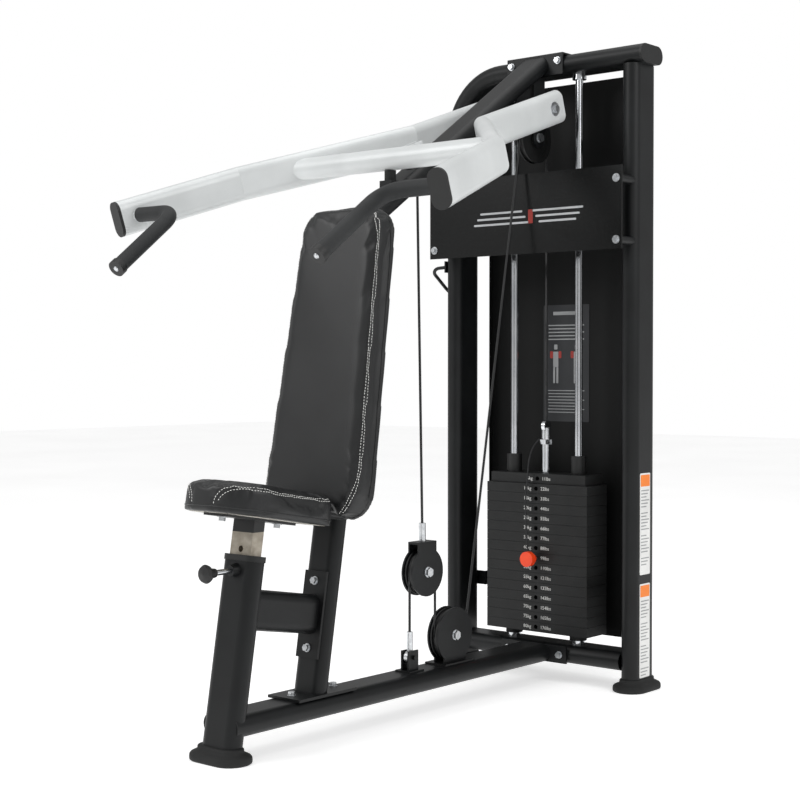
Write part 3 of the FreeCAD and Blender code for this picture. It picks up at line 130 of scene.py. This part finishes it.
def smooth_line(points, thick=0.0):
    """A mesh from a NURBS line through control points: its centreline, or a tube when thick is given."""
    line = bpy.data.curves.new("line", "CURVE")
    line.dimensions = "3D"
    line.resolution_u = 10
    line.bevel_depth = thick / 2
    line.bevel_resolution = 3
    line.use_fill_caps = True
    spline = line.splines.new("NURBS")
    spline.points.add(len(points) - 1)
    for point, place in zip(spline.points, points):
        point.co = (*place, 1)
    spline.order_u = 3
    spline.use_endpoint_u = True
    holder = bpy.data.objects.new("line", line)
    made = bpy.data.meshes.new_from_object(holder)
    bpy.data.objects.remove(holder)
    return made


# The braid shows as a fine raised grain in the dark nylon.
braid = grained_finish("braided_nylon", "#101112", "#1c1d1f", 0.8, 0.3, 0.62)
lanyard_points = [(-0.012, 1.1164, 0.603), (-0.017, 1.0994, 0.590), (-0.020, 1.0804, 0.553),
                  (-0.017, 1.0724, 0.503), (-0.022, 1.0694, 0.452), (-0.015, 1.0634, 0.402),
                  (-0.009, 1.0574, 0.354), (-0.002, 1.0524, 0.327)]
lanyard_thick = 0.004
lanyard = new_piece("lanyard_cord", smooth_line(lanyard_points, lanyard_thick), braid, None)
lanyard_path = [tuple(v.co) for v in smooth_line(lanyard_points).vertices]
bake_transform(lanyard)
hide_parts("pin_lanyard")

# ---- Frame: flat-oval steel tube, welded, blasted and powder coated satin black.
# The coat has the fine orange-peel relief of cured powder and a soft, broken sheen.
coat = grained_finish("satin_powder_coat", "#0d0e0f", "#141617", 1.6, 0.10, 0.40)


def dress(material, *names):
    """Give CAD nodes their finish."""
    for name in names:
        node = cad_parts[name]
        node.data.materials.clear()
        node.data.materials.append(material)


dress(coat, "tower_hoop", "tower_upright", "base_crossbar", "main_beam", "front_leg", "backrest_spine",
      "pivot_housing", "cover_standoffs", "bottle_holder", "pulley_brackets", "block_housing")

# ---- Rear cover: one folded sheet of steel with a matt black coat, held on standoffs.
sheet_coat = grained_finish("matt_sheet_coat", "#050606", "#090a0a", 1.2, 0.06, 0.55, cloud_mm=240)
dress(sheet_coat, "rear_cover")

# ---- Press arm: the same flat-oval tube in a light silver powder coat with a fine metal flake.
# The flake is drawn at 1.5 mm, coarser than the real one, so that it can be seen.
silver = grained_finish("silver_powder_coat", "#cdd0d0", "#dcdfdf", 1.5, 0.05, 0.32,
                        metal=0.10, cloud_mm=160)
dress(silver, "arm_right", "arm_left", "arm_crossbar", "cable_lug")

# ---- Moulded caps, bushes and knobs: black nylon with a light spark-eroded mould texture.
nylon = grained_finish("moulded_black_nylon", "#0c0d0d", "#131414", 0.9, 0.12, 0.48)
dress(nylon, "top_tube_cap", "leg_collar", "arm_end_caps", "guide_bushes", "pop_pin_knob", "block_pulley",
      "base_pulley", "top_pulley")

# ---- Rubber: moulded feet, the arm's bumper and the stack's buffers, matt with a dusty bloom.
rubber = grained_finish("moulded_rubber", "#0e0f0f", "#181919", 1.4, 0.18, 0.74)
dress(rubber, "rubber_feet", "arm_bumper", "stack_buffers")

# ---- Hand grips: thick rubber sleeves pushed over the handle tube, with a fine pebbled skin.
grip_skin = grained_finish("pebbled_grip_rubber", "#1a1c1d", "#252728", 1.8, 0.35, 0.66)
dress(grip_skin, "hand_grips")

# ---- Chrome: guide rods and selector rod, ground and hard-chromed bar.
# A very fine grain and slow clouds of tone break up the shine a little.
chrome = grained_finish("hard_chrome", "#c9ccd0", "#e2e4e6", 2.5, 0.01, 0.12, metal=1.0, cloud_mm=60)
dress(chrome, "guide_rods", "selector_rod", "pop_pin_shaft")

# ---- Bolts, sleeves and bearings: steel with bright zinc plate, slightly clouded and scuffed.
zinc = grained_finish("bright_zinc_plate", "#c0c3c6", "#dfe1e3", 1.1, 0.05, 0.30, metal=1.0, cloud_mm=8)
dress(zinc, "pivot_shaft", "pulley_bolts", "block_pulley_bolt", "frame_bolts", "seat_bolts",
      "anchor_cable_sleeve", "lift_cable_ends", "selector_pin", "pivot_bearings",
      "block_pulley_bearing", "base_pulley_bearing", "top_pulley_bearing")

# ---- Seat post: bare drawn steel that slides in the leg, with its top painted black.
# Handling and oil leave warm brownish clouds on the steel; the paint ends at one level.
bare = grained_finish("bare_drawn_steel", "#8f877a", "#b5ada0", 1.3, 0.04, 0.38, metal=0.75, cloud_mm=22)
shader = bare.node_tree.nodes["Principled BSDF"]
where = add_node(bare, "TexCoord").outputs["Object"]
height = add_node(bare, "SeparateXYZ", None, Vector=where).outputs["Z"]
paint_low, paint_high = 0.452, 0.4525
painted = add_node(bare, "MapRange", {"From Min": paint_low, "From Max": paint_high},
                   Value=height).outputs["Result"]
steel_tone = shader.inputs["Base Color"].links[0].from_socket
paint_over = add_node(bare, "MixRGB", {"Color2": linear("#0d0e0f")}, Fac=painted, Color1=steel_tone)
shine = add_node(bare, "MapRange", {"To Min": 0.75, "To Max": 0.0}, Value=painted)
bare.node_tree.links.new(paint_over.outputs["Color"], shader.inputs["Base Color"])
bare.node_tree.links.new(shine.outputs["Result"], shader.inputs["Metallic"])
dress(bare, "seat_post")

# ---- Weight plates: steel slabs under a coat of black enamel.
enamel = grained_finish("black_plate_enamel", "#101111", "#181919", 2.2, 0.14, 0.50, cloud_mm=45)
dress(enamel, "resting_plates", "lifted_plates", "top_plate")

# ---- Cables: 6 mm steel rope in a black nylon coat, with a faint grain from the rope below.
rope = grained_finish("nylon_coated_cable", "#0f1011", "#1a1b1c", 1.2, 0.10, 0.38)
dress(rope, "cable_rear_run", "cable_block_lift", "cable_front_strands", "cable_stack_drop",
      "pin_lanyard")

# ---- Pin knob: moulded orange-red plastic, fairly glossy.
orange = grained_finish("orange_red_moulding", "#e8380c", "#f64a14", 1.0, 0.04, 0.32, cloud_mm=30)
dress(orange, "selector_pin_knob")

# ---- Placard and labels: printed film on the tower.
film = grained_finish("dark_printed_film", "#1d1f22", "#26282b", 1.5, 0.02, 0.34)
dress(film, "instruction_labels")

# ---- Front panel: 4 mm sheet steel, cut square, in a glossy black coat.
# It stands off the uprights on four spacers and covers the top of the weight tower.
gloss = grained_finish("gloss_black_coat", "#040505", "#080909", 2.4, 0.02, 0.24, cloud_mm=200)
dress(gloss, "front_panel")

# ---- Black coats: the powder coats, the gloss coat and the enamel keep faint highlights.
for black, sheen in ((coat, 0.30), (sheet_coat, 0.25), (gloss, 0.35), (enamel, 0.35)):
    black.node_tree.nodes["Principled BSDF"].inputs["Specular IOR Level"].default_value = sheen

# ---- Backrest pad: foam on a 12 mm board, wrapped in black artificial leather stapled underneath.
# The cover's side bands are joined to its face by double-stitched seams that run from top to bottom.
# The filling is a short cloth simulation under pressure; seams and stitches are laid on its result.
leather = grained_finish("artificial_leather", "#0f1011", "#161718", 1.7, 0.32, 0.40)
thread = grained_finish("white_sewing_thread", "#e2e2de", "#f4f4f1", 0.7, 0.20, 0.60)
backing = grained_finish("pale_backing_cloth", "#d9d5cc", "#e9e6df", 1.1, 0.15, 0.80)
lean = math.radians(9.7)
board_thick = 0.012
stitch_step, seam_gap = 0.0062, 0.009


def pad_frame(origin, along, out):
    """The matrix of a pad's own frame: x across, y along its face, z out of its face."""
    axes = Matrix((Vector((1, 0, 0)), Vector(along), Vector(out))).transposed().to_4x4()
    return Matrix.Translation(origin) @ axes


def stuffed_shape(foam, placed, cap):
    """The pad's cover: the foam and board as one block, remeshed, blown up and capped."""
    block = bmesh.new()
    block.from_mesh(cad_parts[foam].data)
    bmesh.ops.remove_doubles(block, verts=block.verts, dist=1e-5)
    bmesh.ops.transform(block, matrix=placed.inverted(), verts=block.verts)
    for corner in block.verts:
        corner.co.z += -board_thick if corner.co.z < 0.001 else -0.004
        corner.co.x *= 0.985
        corner.co.y += -0.002 if corner.co.y > 0 else 0.002
    mesh = bpy.data.meshes.new("pad_block")
    block.to_mesh(mesh)
    block.free()
    holder = bpy.data.objects.new("pad_block", mesh)
    look.collection.objects.link(holder)
    grid = holder.modifiers.new("even_skin", "REMESH")
    grid.mode = "VOXEL"
    grid.voxel_size = 0.005
    skin = bpy.data.meshes.new_from_object(holder.evaluated_get(bpy.context.evaluated_depsgraph_get()))
    holder.modifiers.clear()
    soft = bmesh.new()
    soft.from_mesh(skin)
    floor_z = min(v.co.z for v in soft.verts)
    for _ in range(7):
        upper = [v for v in soft.verts if v.co.z > floor_z + 0.003]
        bmesh.ops.smooth_vert(soft, verts=upper, factor=0.5, use_axis_x=True, use_axis_y=True, use_axis_z=True)
    soft.to_mesh(skin)
    soft.free()
    holder.data = skin
    held = holder.vertex_groups.new(name="stapled")
    held.add([v.index for v in skin.vertices if v.co.z < floor_z + 0.004], 1.0, "REPLACE")
    cloth = holder.modifiers.new("filling", "CLOTH")
    cloth.settings.use_pressure = True
    cloth.settings.uniform_pressure_force = 4
    cloth.settings.vertex_group_mass = "stapled"
    cloth.settings.effector_weights.gravity = 0
    cloth.point_cache.frame_start = 1
    cloth.point_cache.frame_end = 20
    for step in range(1, 21):
        look.frame_set(step)
    blown = bpy.data.meshes.new_from_object(
        holder.evaluated_get(bpy.context.evaluated_depsgraph_get()))
    for rest, moved in zip(skin.vertices, blown.vertices):
        shift = moved.co - rest.co
        if shift.length > cap:
            shift *= cap / shift.length
        rest.co += shift
    holder.modifiers.clear()
    look.frame_set(1)
    bpy.data.objects.remove(holder)
    return skin


def lay_seams(skin, rows, depth, reach):
    """Sink the skin a little along its seams, and return the rows laid on the sunk surface."""
    tree = BVHTree.FromPolygons([v.co for v in skin.vertices], [p.vertices for p in skin.polygons])
    dense = [tree.find_nearest(point)[0] for row in rows for point in row]
    nearby = KDTree(len(dense))
    for number, point in enumerate(dense):
        nearby.insert(point, number)
    nearby.balance()
    for vertex in skin.vertices:
        gap = nearby.find(vertex.co)[2]
        if gap < 3 * reach:
            vertex.co -= vertex.normal * depth * math.exp(-(gap / reach) ** 2)
    tree = BVHTree.FromPolygons([v.co for v in skin.vertices], [p.vertices for p in skin.polygons])
    return [[tree.find_nearest(point)[:2] for point in row] for row in rows]


def even_steps(points, step):
    """The points of a line at even distances along it."""
    spaced, carried = [points[0]], 0.0
    for start, end in zip(points, points[1:]):
        run = (end - start).length
        travelled = step - carried
        while travelled < run:
            spaced.append(start.lerp(end, travelled / run))
            travelled += step
        carried = (carried + run) % step
    return spaced


def sewn(name, rows, placed, body, length=0.0048, thick=0.0015):
    """White stitches: one small thread bead for each step of every row."""
    beads = bmesh.new()
    for row in rows:
        for (here, up), (there, _) in zip(row, row[1:]):
            run = (there - here).normalized()
            side = up.cross(run).normalized()
            turned = Matrix((run, side, run.cross(side))).transposed().to_4x4()
            bead = Matrix.Translation((here + there) / 2 + up * thick * 0.2) @ turned @ Matrix.Diagonal(
                (length / 2, thick / 2, thick / 2, 1))
            bmesh.ops.create_icosphere(beads, subdivisions=1, radius=1, matrix=placed @ bead)
    new_piece(name, beads, thread, body)


def welt(name, points, placed, body, thick=0.003):
    """A thin leather welt along the cover's lower edge."""
    loop = bpy.data.curves.new(name, "CURVE")
    loop.dimensions = "3D"
    loop.bevel_depth = thick / 2
    loop.bevel_resolution = 2
    spline = loop.splines.new("POLY")
    spline.points.add(len(points) - 1)
    for knot, place in zip(spline.points, points):
        knot.co = (*(placed @ place), 1)
    spline.use_cyclic_u = True
    holder = bpy.data.objects.new(name, loop)
    mesh = bpy.data.meshes.new_from_object(holder)
    bpy.data.objects.remove(holder)
    new_piece(name, mesh, leather, body)


def outline_at(skin, height):
    """The cover's outline at a height of the pad's frame, as points in order round it."""
    tree = BVHTree.FromPolygons([v.co for v in skin.vertices], [p.vertices for p in skin.polygons])
    middle = sum((v.co for v in skin.vertices), Vector()) / len(skin.vertices)
    ring = []
    for turn in range(240):
        angle = 2 * math.pi * turn / 240
        away = Vector((math.cos(angle), math.sin(angle), 0))
        hit = tree.ray_cast(Vector((middle.x, middle.y, height)) + away, -away)[0]
        ring.append(hit)
    return ring


def backing_sheet(name, skin, inset, placed, body):
    """The cloth that closes the pad's underside, 1 mm proud of the board."""
    low = min(v.co.z for v in skin.vertices)
    ring = outline_at(skin, low + 0.004)
    middle = sum(ring, Vector()) / len(ring)
    closed = bmesh.new()
    edge = []
    for point in ring:
        inward = (middle - point).normalized() * inset
        edge.append(closed.verts.new((point.x + inward.x, point.y + inward.y, low - 0.0006)))
    face = closed.faces.new(edge)
    bmesh.ops.solidify(closed, geom=[face], thickness=0.001)
    bmesh.ops.recalc_face_normals(closed, faces=closed.faces)
    bmesh.ops.transform(closed, matrix=placed, verts=closed.verts)
    new_piece(name, closed, backing, body, smooth=False)


def finished_pad(name, skin, placed, body, *nodes):
    """The cover as a piece, standing for the pad's CAD solids."""
    skin.transform(placed)
    piece = new_piece(name, skin, leather, body)
    rounder = piece.modifiers.new("rounder", "SUBSURF")
    rounder.levels = 1
    rounder.render_levels = 1
    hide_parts(*nodes)


back_foam, back_long = 0.044, 0.672
post_y, back_forward, back_up = 0.2434, 0.0382, 0.4667
back_low_half, back_top_half = 0.148, 0.118
back_frame = pad_frame((0, post_y - back_forward * math.cos(lean) + back_up * math.sin(lean),
                        back_up * math.cos(lean) + back_forward * math.sin(lean)),
                       (0, math.sin(lean), math.cos(lean)), (0, -math.cos(lean), math.sin(lean)))
back_skin = stuffed_shape("back_pad", back_frame, 0.007)
back_rows, back_steps = [], 112
low_curl, low_turn, high_curl, high_turn = 0.052, 0.13, 0.020, 0.09
for side in (1, -1):
    for turned in (0.0, seam_gap):
        row = []
        for step in range(back_steps + 1):
            along = 0.002 + (back_long - 0.004) * step / back_steps
            half = back_low_half + (back_top_half - back_low_half) * along / back_long
            curl = low_curl * max(0.0, 1 - along / low_turn) ** 2
            curl += high_curl * max(0.0, (along - back_long + high_turn) / high_turn) ** 2
            reach = min(half + 0.001, half - 0.004 - curl + turned)
            depth = 0.010 * turned / seam_gap * (1 - min(1.0, curl / seam_gap))
            row.append(Vector((side * reach, along, back_foam - 0.001 - depth)))
        back_rows.append(even_steps(row, stitch_step))
back_sewn = lay_seams(back_skin, back_rows, 0.0014, 0.004)
back_welt = outline_at(back_skin, -0.001)
backing_sheet("back_pad_backing", back_skin, 0.010, back_frame, "root")
sewn("back_pad_stitches", back_sewn, back_frame, "root")
welt("back_pad_welt", back_welt, back_frame, "root")
finished_pad("back_pad_cover", back_skin, back_frame, "root", "back_pad", "back_pad_board")

# ---- Seat pad: made as the backrest is, with a round nose that drops towards the front.
# Its two seams climb from the nose's lower edge and follow the upper side edges to the rear.
seat_foam, seat_reach = 0.050, 0.145
seat_back, seat_up = 0.006, 0.4997
seat_frame = pad_frame((0, seat_back * math.cos(lean) + seat_up * math.sin(lean),
                        seat_up * math.cos(lean) - seat_back * math.sin(lean)),
                       (0, math.cos(lean), -math.sin(lean)), (0, math.sin(lean), math.cos(lean)))
seat_skin = stuffed_shape("seat_pad", seat_frame, 0.007)
seat_ring = outline_at(seat_skin, 0.020)
seat_rows = []
for side in (1, -1):
    edge = [point for point in seat_ring if side * point.x > 0.030]
    edge.sort(key=lambda point: (point.y, side * point.x) if point.y < 0 else (point.y, 0))
    front = [point for point in edge if point.y < seat_reach - 0.022]
    edge = even_steps(front, 0.002)
    for top, lag in ((seat_foam - 0.002, 0.0), (seat_foam - 0.011, seam_gap)):
        row, gone = [], 0.0
        for before, point in zip([edge[0]] + edge, edge):
            gone += (point - before).length
            if gone < lag:
                continue
            swing = min(1.0, (gone - lag) / (0.062 - lag * 0.6))
            rise = math.sqrt(max(0.0, 1 - (1 - swing) ** 2))
            row.append(Vector((point.x, point.y, 0.003 + (top - 0.003) * rise)))
        seat_rows.append(even_steps(row, stitch_step))
seat_sewn = lay_seams(seat_skin, seat_rows, 0.0012, 0.0035)
seat_welt = outline_at(seat_skin, -0.001)
backing_sheet("seat_backing", seat_skin, 0.010, seat_frame, "seat")
sewn("seat_stitches", seat_sewn, seat_frame, "seat")
welt("seat_welt", seat_welt, seat_frame, "seat")
finished_pad("seat_cover", seat_skin, seat_frame, "seat", "seat_pad", "seat_board")

# ---- Cable strands: two below the floating block, one to the stack.
# Each is a smooth nylon-coated rope between two fixed points.
def strand(name, low, high, node=None, pieces=24):
    """A straight cable between two points, built in short rings along its length."""
    rope_shape = bmesh.new()
    run = Vector(high) - Vector(low)
    ring = bmesh.ops.create_circle(rope_shape, segments=14, radius=0.003, cap_ends=True)["verts"]
    face = rope_shape.faces[:][0]
    for _ in range(pieces):
        lifted = bmesh.ops.extrude_face_region(rope_shape, geom=[face])["geom"]
        face = [item for item in lifted if isinstance(item, bmesh.types.BMFace)][0]
        bmesh.ops.translate(rope_shape, verts=list(face.verts), vec=(0, 0, run.length / pieces))
    bmesh.ops.recalc_face_normals(rope_shape, faces=rope_shape.faces)
    turned = Vector((0, 0, 1)).rotation_difference(run).to_matrix().to_4x4()
    bmesh.ops.transform(rope_shape, matrix=Matrix.Translation(low) @ turned, verts=rope_shape.verts)
    piece = new_piece(name, rope_shape, rope, None)
    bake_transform(piece)
    return piece


tower_y, anchor_y, base_y, block_low_z = 1.1294, 0.5874, 0.6794, 0.315
front_strand = strand("cable_anchor_strand", (0, anchor_y, 0.146), (0, anchor_y, block_low_z))
rear_strand = strand("cable_base_strand", (0, base_y, 0.157), (0, base_y, block_low_z))
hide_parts("cable_front_strands")
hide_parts("cable_front_strands")
drop_strand = strand("cable_drop_strand", (0, tower_y, 0.638), (0, tower_y, 1.358))
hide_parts("cable_stack_drop")

# ---- Rubber shoes: one moulding under each tube end, flared at the floor, with a collar round the tube.
# The profile is lofted ring by ring from the sole up and closed over the tube's end.
def shoe(shoes, centre, lengthways):
    """A flared oval shoe: rings of one outline, set in and raised."""
    radius, stretch = 0.043, 0.0295
    rings = []
    for inset, height in ((0.003, 0.0), (0.0005, 0.002), (0.0, 0.006), (0.0005, 0.012), (0.003, 0.0155),
                          (0.009, 0.0185), (0.0145, 0.0205), (0.0165, 0.024), (0.017, 0.0285), (0.019, 0.030)):
        ring = bmesh.ops.create_circle(shoes, segments=56, radius=radius - inset)["verts"]
        for corner in ring:
            corner.co.x += math.copysign(stretch, corner.co.x) if abs(corner.co.x) > 1e-6 else 0.0
            corner.co.z = height
            if lengthways:
                corner.co.x, corner.co.y = -corner.co.y, corner.co.x
            corner.co += Vector(centre)
        rings.append(ring)
    for lower, upper in zip(rings, rings[1:]):
        edges = [edge for ring in (lower, upper) for v in ring for edge in v.link_edges
                 if all(end in set(ring) for end in edge.verts)]
        bmesh.ops.bridge_loops(shoes, edges=list(dict.fromkeys(edges)))
    shoes.faces.new(list(reversed(rings[0])))
    shoes.faces.new(rings[-1])


shoes = bmesh.new()
shoe(shoes, (0, 0, 0), False)
for foot_x in (0.269, -0.269):
    shoe(shoes, (foot_x, tower_y, 0), True)
bmesh.ops.recalc_face_normals(shoes, faces=shoes.faces)
shoes_piece = new_piece("rubber_shoes", shoes, rubber, "root")
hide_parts("rubber_feet")


# ---- Plate numbers: each plate's load screen-printed in white either side of its pin hole.
# The top plate and the plates under it add 5 kg each; the right-hand column gives the same in pounds.
ink = grained_finish("white_screen_ink", "#c9c9c6", "#dededb", 0.8, 0.05, 0.55)


def printed(words, size, place, align="CENTER"):
    """Printed words as a thin mesh that stands upright and faces the user."""
    text = bpy.data.curves.new("words", "FONT")
    text.body = words
    text.size = size
    text.extrude = 0.0001
    text.resolution_u = 2
    text.align_x = align
    text.align_y = "CENTER"
    holder = bpy.data.objects.new("words", text)
    mesh = bpy.data.meshes.new_from_object(holder)
    bpy.data.objects.remove(holder)
    mesh.transform(Matrix.Translation(place) @ Matrix.Rotation(math.pi / 2, 4, "X"))
    return mesh


resting_print, lifted_print = bmesh.new(), bmesh.new()
plate_count, resting_count, plate_kilos, plate_pitch, first_plate_z = 16, 7, 5, 0.025, 0.117
number_size, number_gap = 0.0125, 0.014
for level in range(plate_count):
    kilos = plate_kilos * (plate_count - level)
    face_y = 1.0904 if level == plate_count - 1 else 1.0844
    middle_z = first_plate_z + plate_pitch * level + 0.0122
    target = resting_print if level < resting_count else lifted_print
    target.from_mesh(printed("%dkg" % kilos, number_size,
                             (-number_gap, face_y - 0.0002, middle_z), "RIGHT"))
    target.from_mesh(printed("%dlbs" % round(kilos * 2.2), number_size,
                             (number_gap, face_y - 0.0002, middle_z), "LEFT"))
resting_numbers = new_piece("plate_numbers_resting", resting_print, ink, "root", smooth=False)
lifted_numbers = new_piece("plate_numbers_lifted", lifted_print, ink, "stack", smooth=False)


# ---- Tower labels: two white film labels on the right upright, with an orange head and grey lines.
# The lines stand for small print and say nothing.
def tiles(name, boxes, material, body, round_off=0.0):
    """Thin printed tiles, each from its centre and size, in one piece."""
    laid = bmesh.new()
    for centre, size in boxes:
        bmesh.ops.create_cube(laid, size=1, matrix=Matrix.Translation(centre) @ Matrix.Diagonal((*size, 1)))
    if round_off:
        thin = min(range(3), key=lambda axis: boxes[0][1][axis])
        uprights = [edge for edge in laid.edges
                    if abs((edge.verts[0].co - edge.verts[1].co)[thin]) > 1e-6]
        bmesh.ops.bevel(laid, geom=uprights, offset=round_off, segments=5, profile=0.5, affect="EDGES",
                        material=-1)
    piece = new_piece(name, laid, material, body, smooth=False)
    return piece


white_film = grained_finish("white_label_film", "#dcdcda", "#ececea", 1.5, 0.02, 0.42)
orange_ink = grained_finish("orange_label_ink", "#ef7a1c", "#f6882c", 1.2, 0.02, 0.45)
grey_ink = grained_finish("grey_label_ink", "#8d8f90", "#a2a4a5", 0.9, 0.02, 0.50)
upright_face, label_y = 0.2915, 1.1274
label_spots = ((0.283, 0.529), (0.033, 0.261))
film_tiles = [((upright_face + 0.0004, label_y, (low + high) / 2), (0.0008, 0.046, high - low))
              for low, high in label_spots]
tiles("tower_labels", film_tiles, white_film, "root", 0.003)
head_tiles, line_tiles = [], []
for low, high in label_spots:
    head_tiles.append(((upright_face + 0.0009, label_y, high - 0.018), (0.0004, 0.041, 0.028)))
    for line in range(24):
        if line % 7 != 6:
            short = 0.006 * (line % 3)
            line_tiles.append(((upright_face + 0.0009, label_y - short / 2, high - 0.042 - 0.0078 * line),
                               (0.0002, 0.036 - short, 0.0026)))
tiles("label_heads", head_tiles, orange_ink, "root", 0.002)
tiles("label_lines", line_tiles, grey_ink, "root")

# ---- Placard: a dark printed film on the rear cover, seen between the guide rods.
# It shows two plain figures in grey with red shoulders over rows of grey lines.
red_ink = grained_finish("red_placard_ink", "#8f2a22", "#a8342b", 0.9, 0.02, 0.50)
placard_y = 1.2184
placard_film = tiles("placard_film", [((0, placard_y + 0.0005, 0.796), (0.141, 0.001, 0.302))],
                     film, "root", 0.004)
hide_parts("instruction_labels")
figure_tiles, shoulder_tiles, row_tiles = [], [], []
for centre_x in (-0.032, 0.032):
    figure_tiles += [((centre_x, placard_y - 0.0002, 0.806), (0.016, 0.0004, 0.040)),
                     ((centre_x - 0.005, placard_y - 0.0002, 0.765), (0.006, 0.0004, 0.042)),
                     ((centre_x + 0.005, placard_y - 0.0002, 0.765), (0.006, 0.0004, 0.042)),
                     ((centre_x, placard_y - 0.0002, 0.838), (0.010, 0.0004, 0.013))]
    shoulder_tiles += [((centre_x - 0.013, placard_y - 0.0002, 0.818), (0.009, 0.0004, 0.018)),
                       ((centre_x + 0.013, placard_y - 0.0002, 0.818), (0.009, 0.0004, 0.018))]
for line in range(5):
    row_tiles.append(((-0.006 * (line % 2), placard_y - 0.0002, 0.894 - 0.009 * line),
                      (0.110 - 0.014 * (line % 2), 0.0004, 0.003)))
for line in range(8):
    row_tiles.append(((-0.004 * (line % 3), placard_y - 0.0002, 0.725 - 0.008 * line),
                      (0.112 - 0.010 * (line % 3), 0.0004, 0.0022)))
row_tiles.append(((0, placard_y - 0.0002, 0.925), (0.080, 0.0004, 0.009)))
tiles("placard_figures", figure_tiles, grey_ink, "root", 0.002)
tiles("placard_shoulders", shoulder_tiles, red_ink, "root", 0.002)
tiles("placard_rows", row_tiles, grey_ink, "root")

# ---- Front panel print: three plain silver stripes with a red mark between them.
# They are the maker-neutral ornament of the gloss panel.
stripe_ink = grained_finish("silver_stripe_ink", "#b4b6b8", "#c8cacc", 1.0, 0.02, 0.35, metal=0.5)
panel_y, panel_middle_z, stripe_pitch = 1.0193, 1.158, 0.014
stripes = [((-0.062, panel_y, panel_middle_z + stripe_pitch * row), (0.150 - 0.02 * row, 0.0004, 0.005))
           for row in (-1, 0, 1)]
stripes += [((0.108, panel_y, panel_middle_z + stripe_pitch * row), (0.130 + 0.02 * row, 0.0004, 0.005))
            for row in (-1, 0, 1)]
tiles("panel_stripes", stripes, stripe_ink, "root", 0.002)
tiles("panel_mark", [((0.028, panel_y, panel_middle_z), (0.014, 0.0004, 0.034))], red_ink, "root", 0.002)

# ---- Grip end screws: a domed screw closes the dark plastic end of each handle.
dress(nylon, "grip_end_collars")
screws = bmesh.new()
for side in (1, -1):
    run = Vector((-side * 0.0585, -0.7972, -0.6007))
    turned = Vector((0, 0, 1)).rotation_difference(run).to_matrix().to_4x4()
    disc = bmesh.ops.create_cone(screws, cap_ends=True, segments=32, radius1=0.0062, radius2=0.0056,
                                 depth=0.003)["verts"]
    head = bmesh.ops.create_uvsphere(screws, u_segments=24, v_segments=12, radius=1,
                                     matrix=Matrix.Translation((0, 0, 0.0014)) @ Matrix.Diagonal(
                                         (0.0046, 0.0046, 0.0018, 1)))["verts"]
    spot = Matrix.Translation((side * 0.287, -0.0249, 0.9901)) @ turned
    bmesh.ops.transform(screws, matrix=spot, verts=disc + head)
grip_screws = new_piece("grip_end_screws", screws, zinc, "press_arm")

# ---- Studio: a pale floor, a white room and three soft lights.
floor_shape = bmesh.new()
bmesh.ops.create_grid(floor_shape, x_segments=2, y_segments=2, size=14)
floor_paint = grained_finish("pale_studio_floor", "#eeeeee", "#f6f6f6", 4.0, 0.01, 0.7, cloud_mm=900)
floor_shader = floor_paint.node_tree.nodes["Principled BSDF"]
floor_shader.inputs["Emission Color"].default_value = (1, 1, 1, 1)
floor_shader.inputs["Emission Strength"].default_value = 0.50
floor = new_piece("studio_floor", floor_shape, floor_paint, None, smooth=False)
sky = bpy.data.worlds.new("white_room")
sky.use_nodes = True
room = sky.node_tree.nodes
room["Background"].inputs["Color"].default_value = (1, 1, 1, 1)
room["Background"].inputs["Strength"].default_value = 0.50
backdrop = room.new("ShaderNodeBackground")
backdrop.inputs["Strength"].default_value = 1.0
backdrop.inputs["Color"].default_value = (1, 1, 1, 1)
rays = room.new("ShaderNodeLightPath")
either = room.new("ShaderNodeMixShader")
for source, target in ((rays.outputs["Is Camera Ray"], either.inputs[0]),
                       (room["Background"].outputs[0], either.inputs[1]),
                       (backdrop.outputs[0], either.inputs[2]),
                       (either.outputs[0], room["World Output"].inputs["Surface"])):
    sky.node_tree.links.new(source, target)
look.world = sky
for name, power, size, place, aim in (
        ("key_light", 62, 2.4, (-1.8, -2.6, 3.2), (0, 0.5, 0.8)),
        ("side_light", 34, 2.2, (3.0, 0.6, 2.6), (0, 0.7, 0.8)),
        ("top_light", 40, 3.0, (0, 0.6, 4.2), (0, 0.6, 0))):
    glow = bpy.data.lights.new(name, "AREA")
    glow.energy = power
    glow.size = size
    lamp = bpy.data.objects.new(name, glow)
    lamp.location = place
    lamp.rotation_euler = (Vector(aim) - Vector(place)).to_track_quat("-Z", "Y").to_euler()
    look.collection.objects.link(lamp)
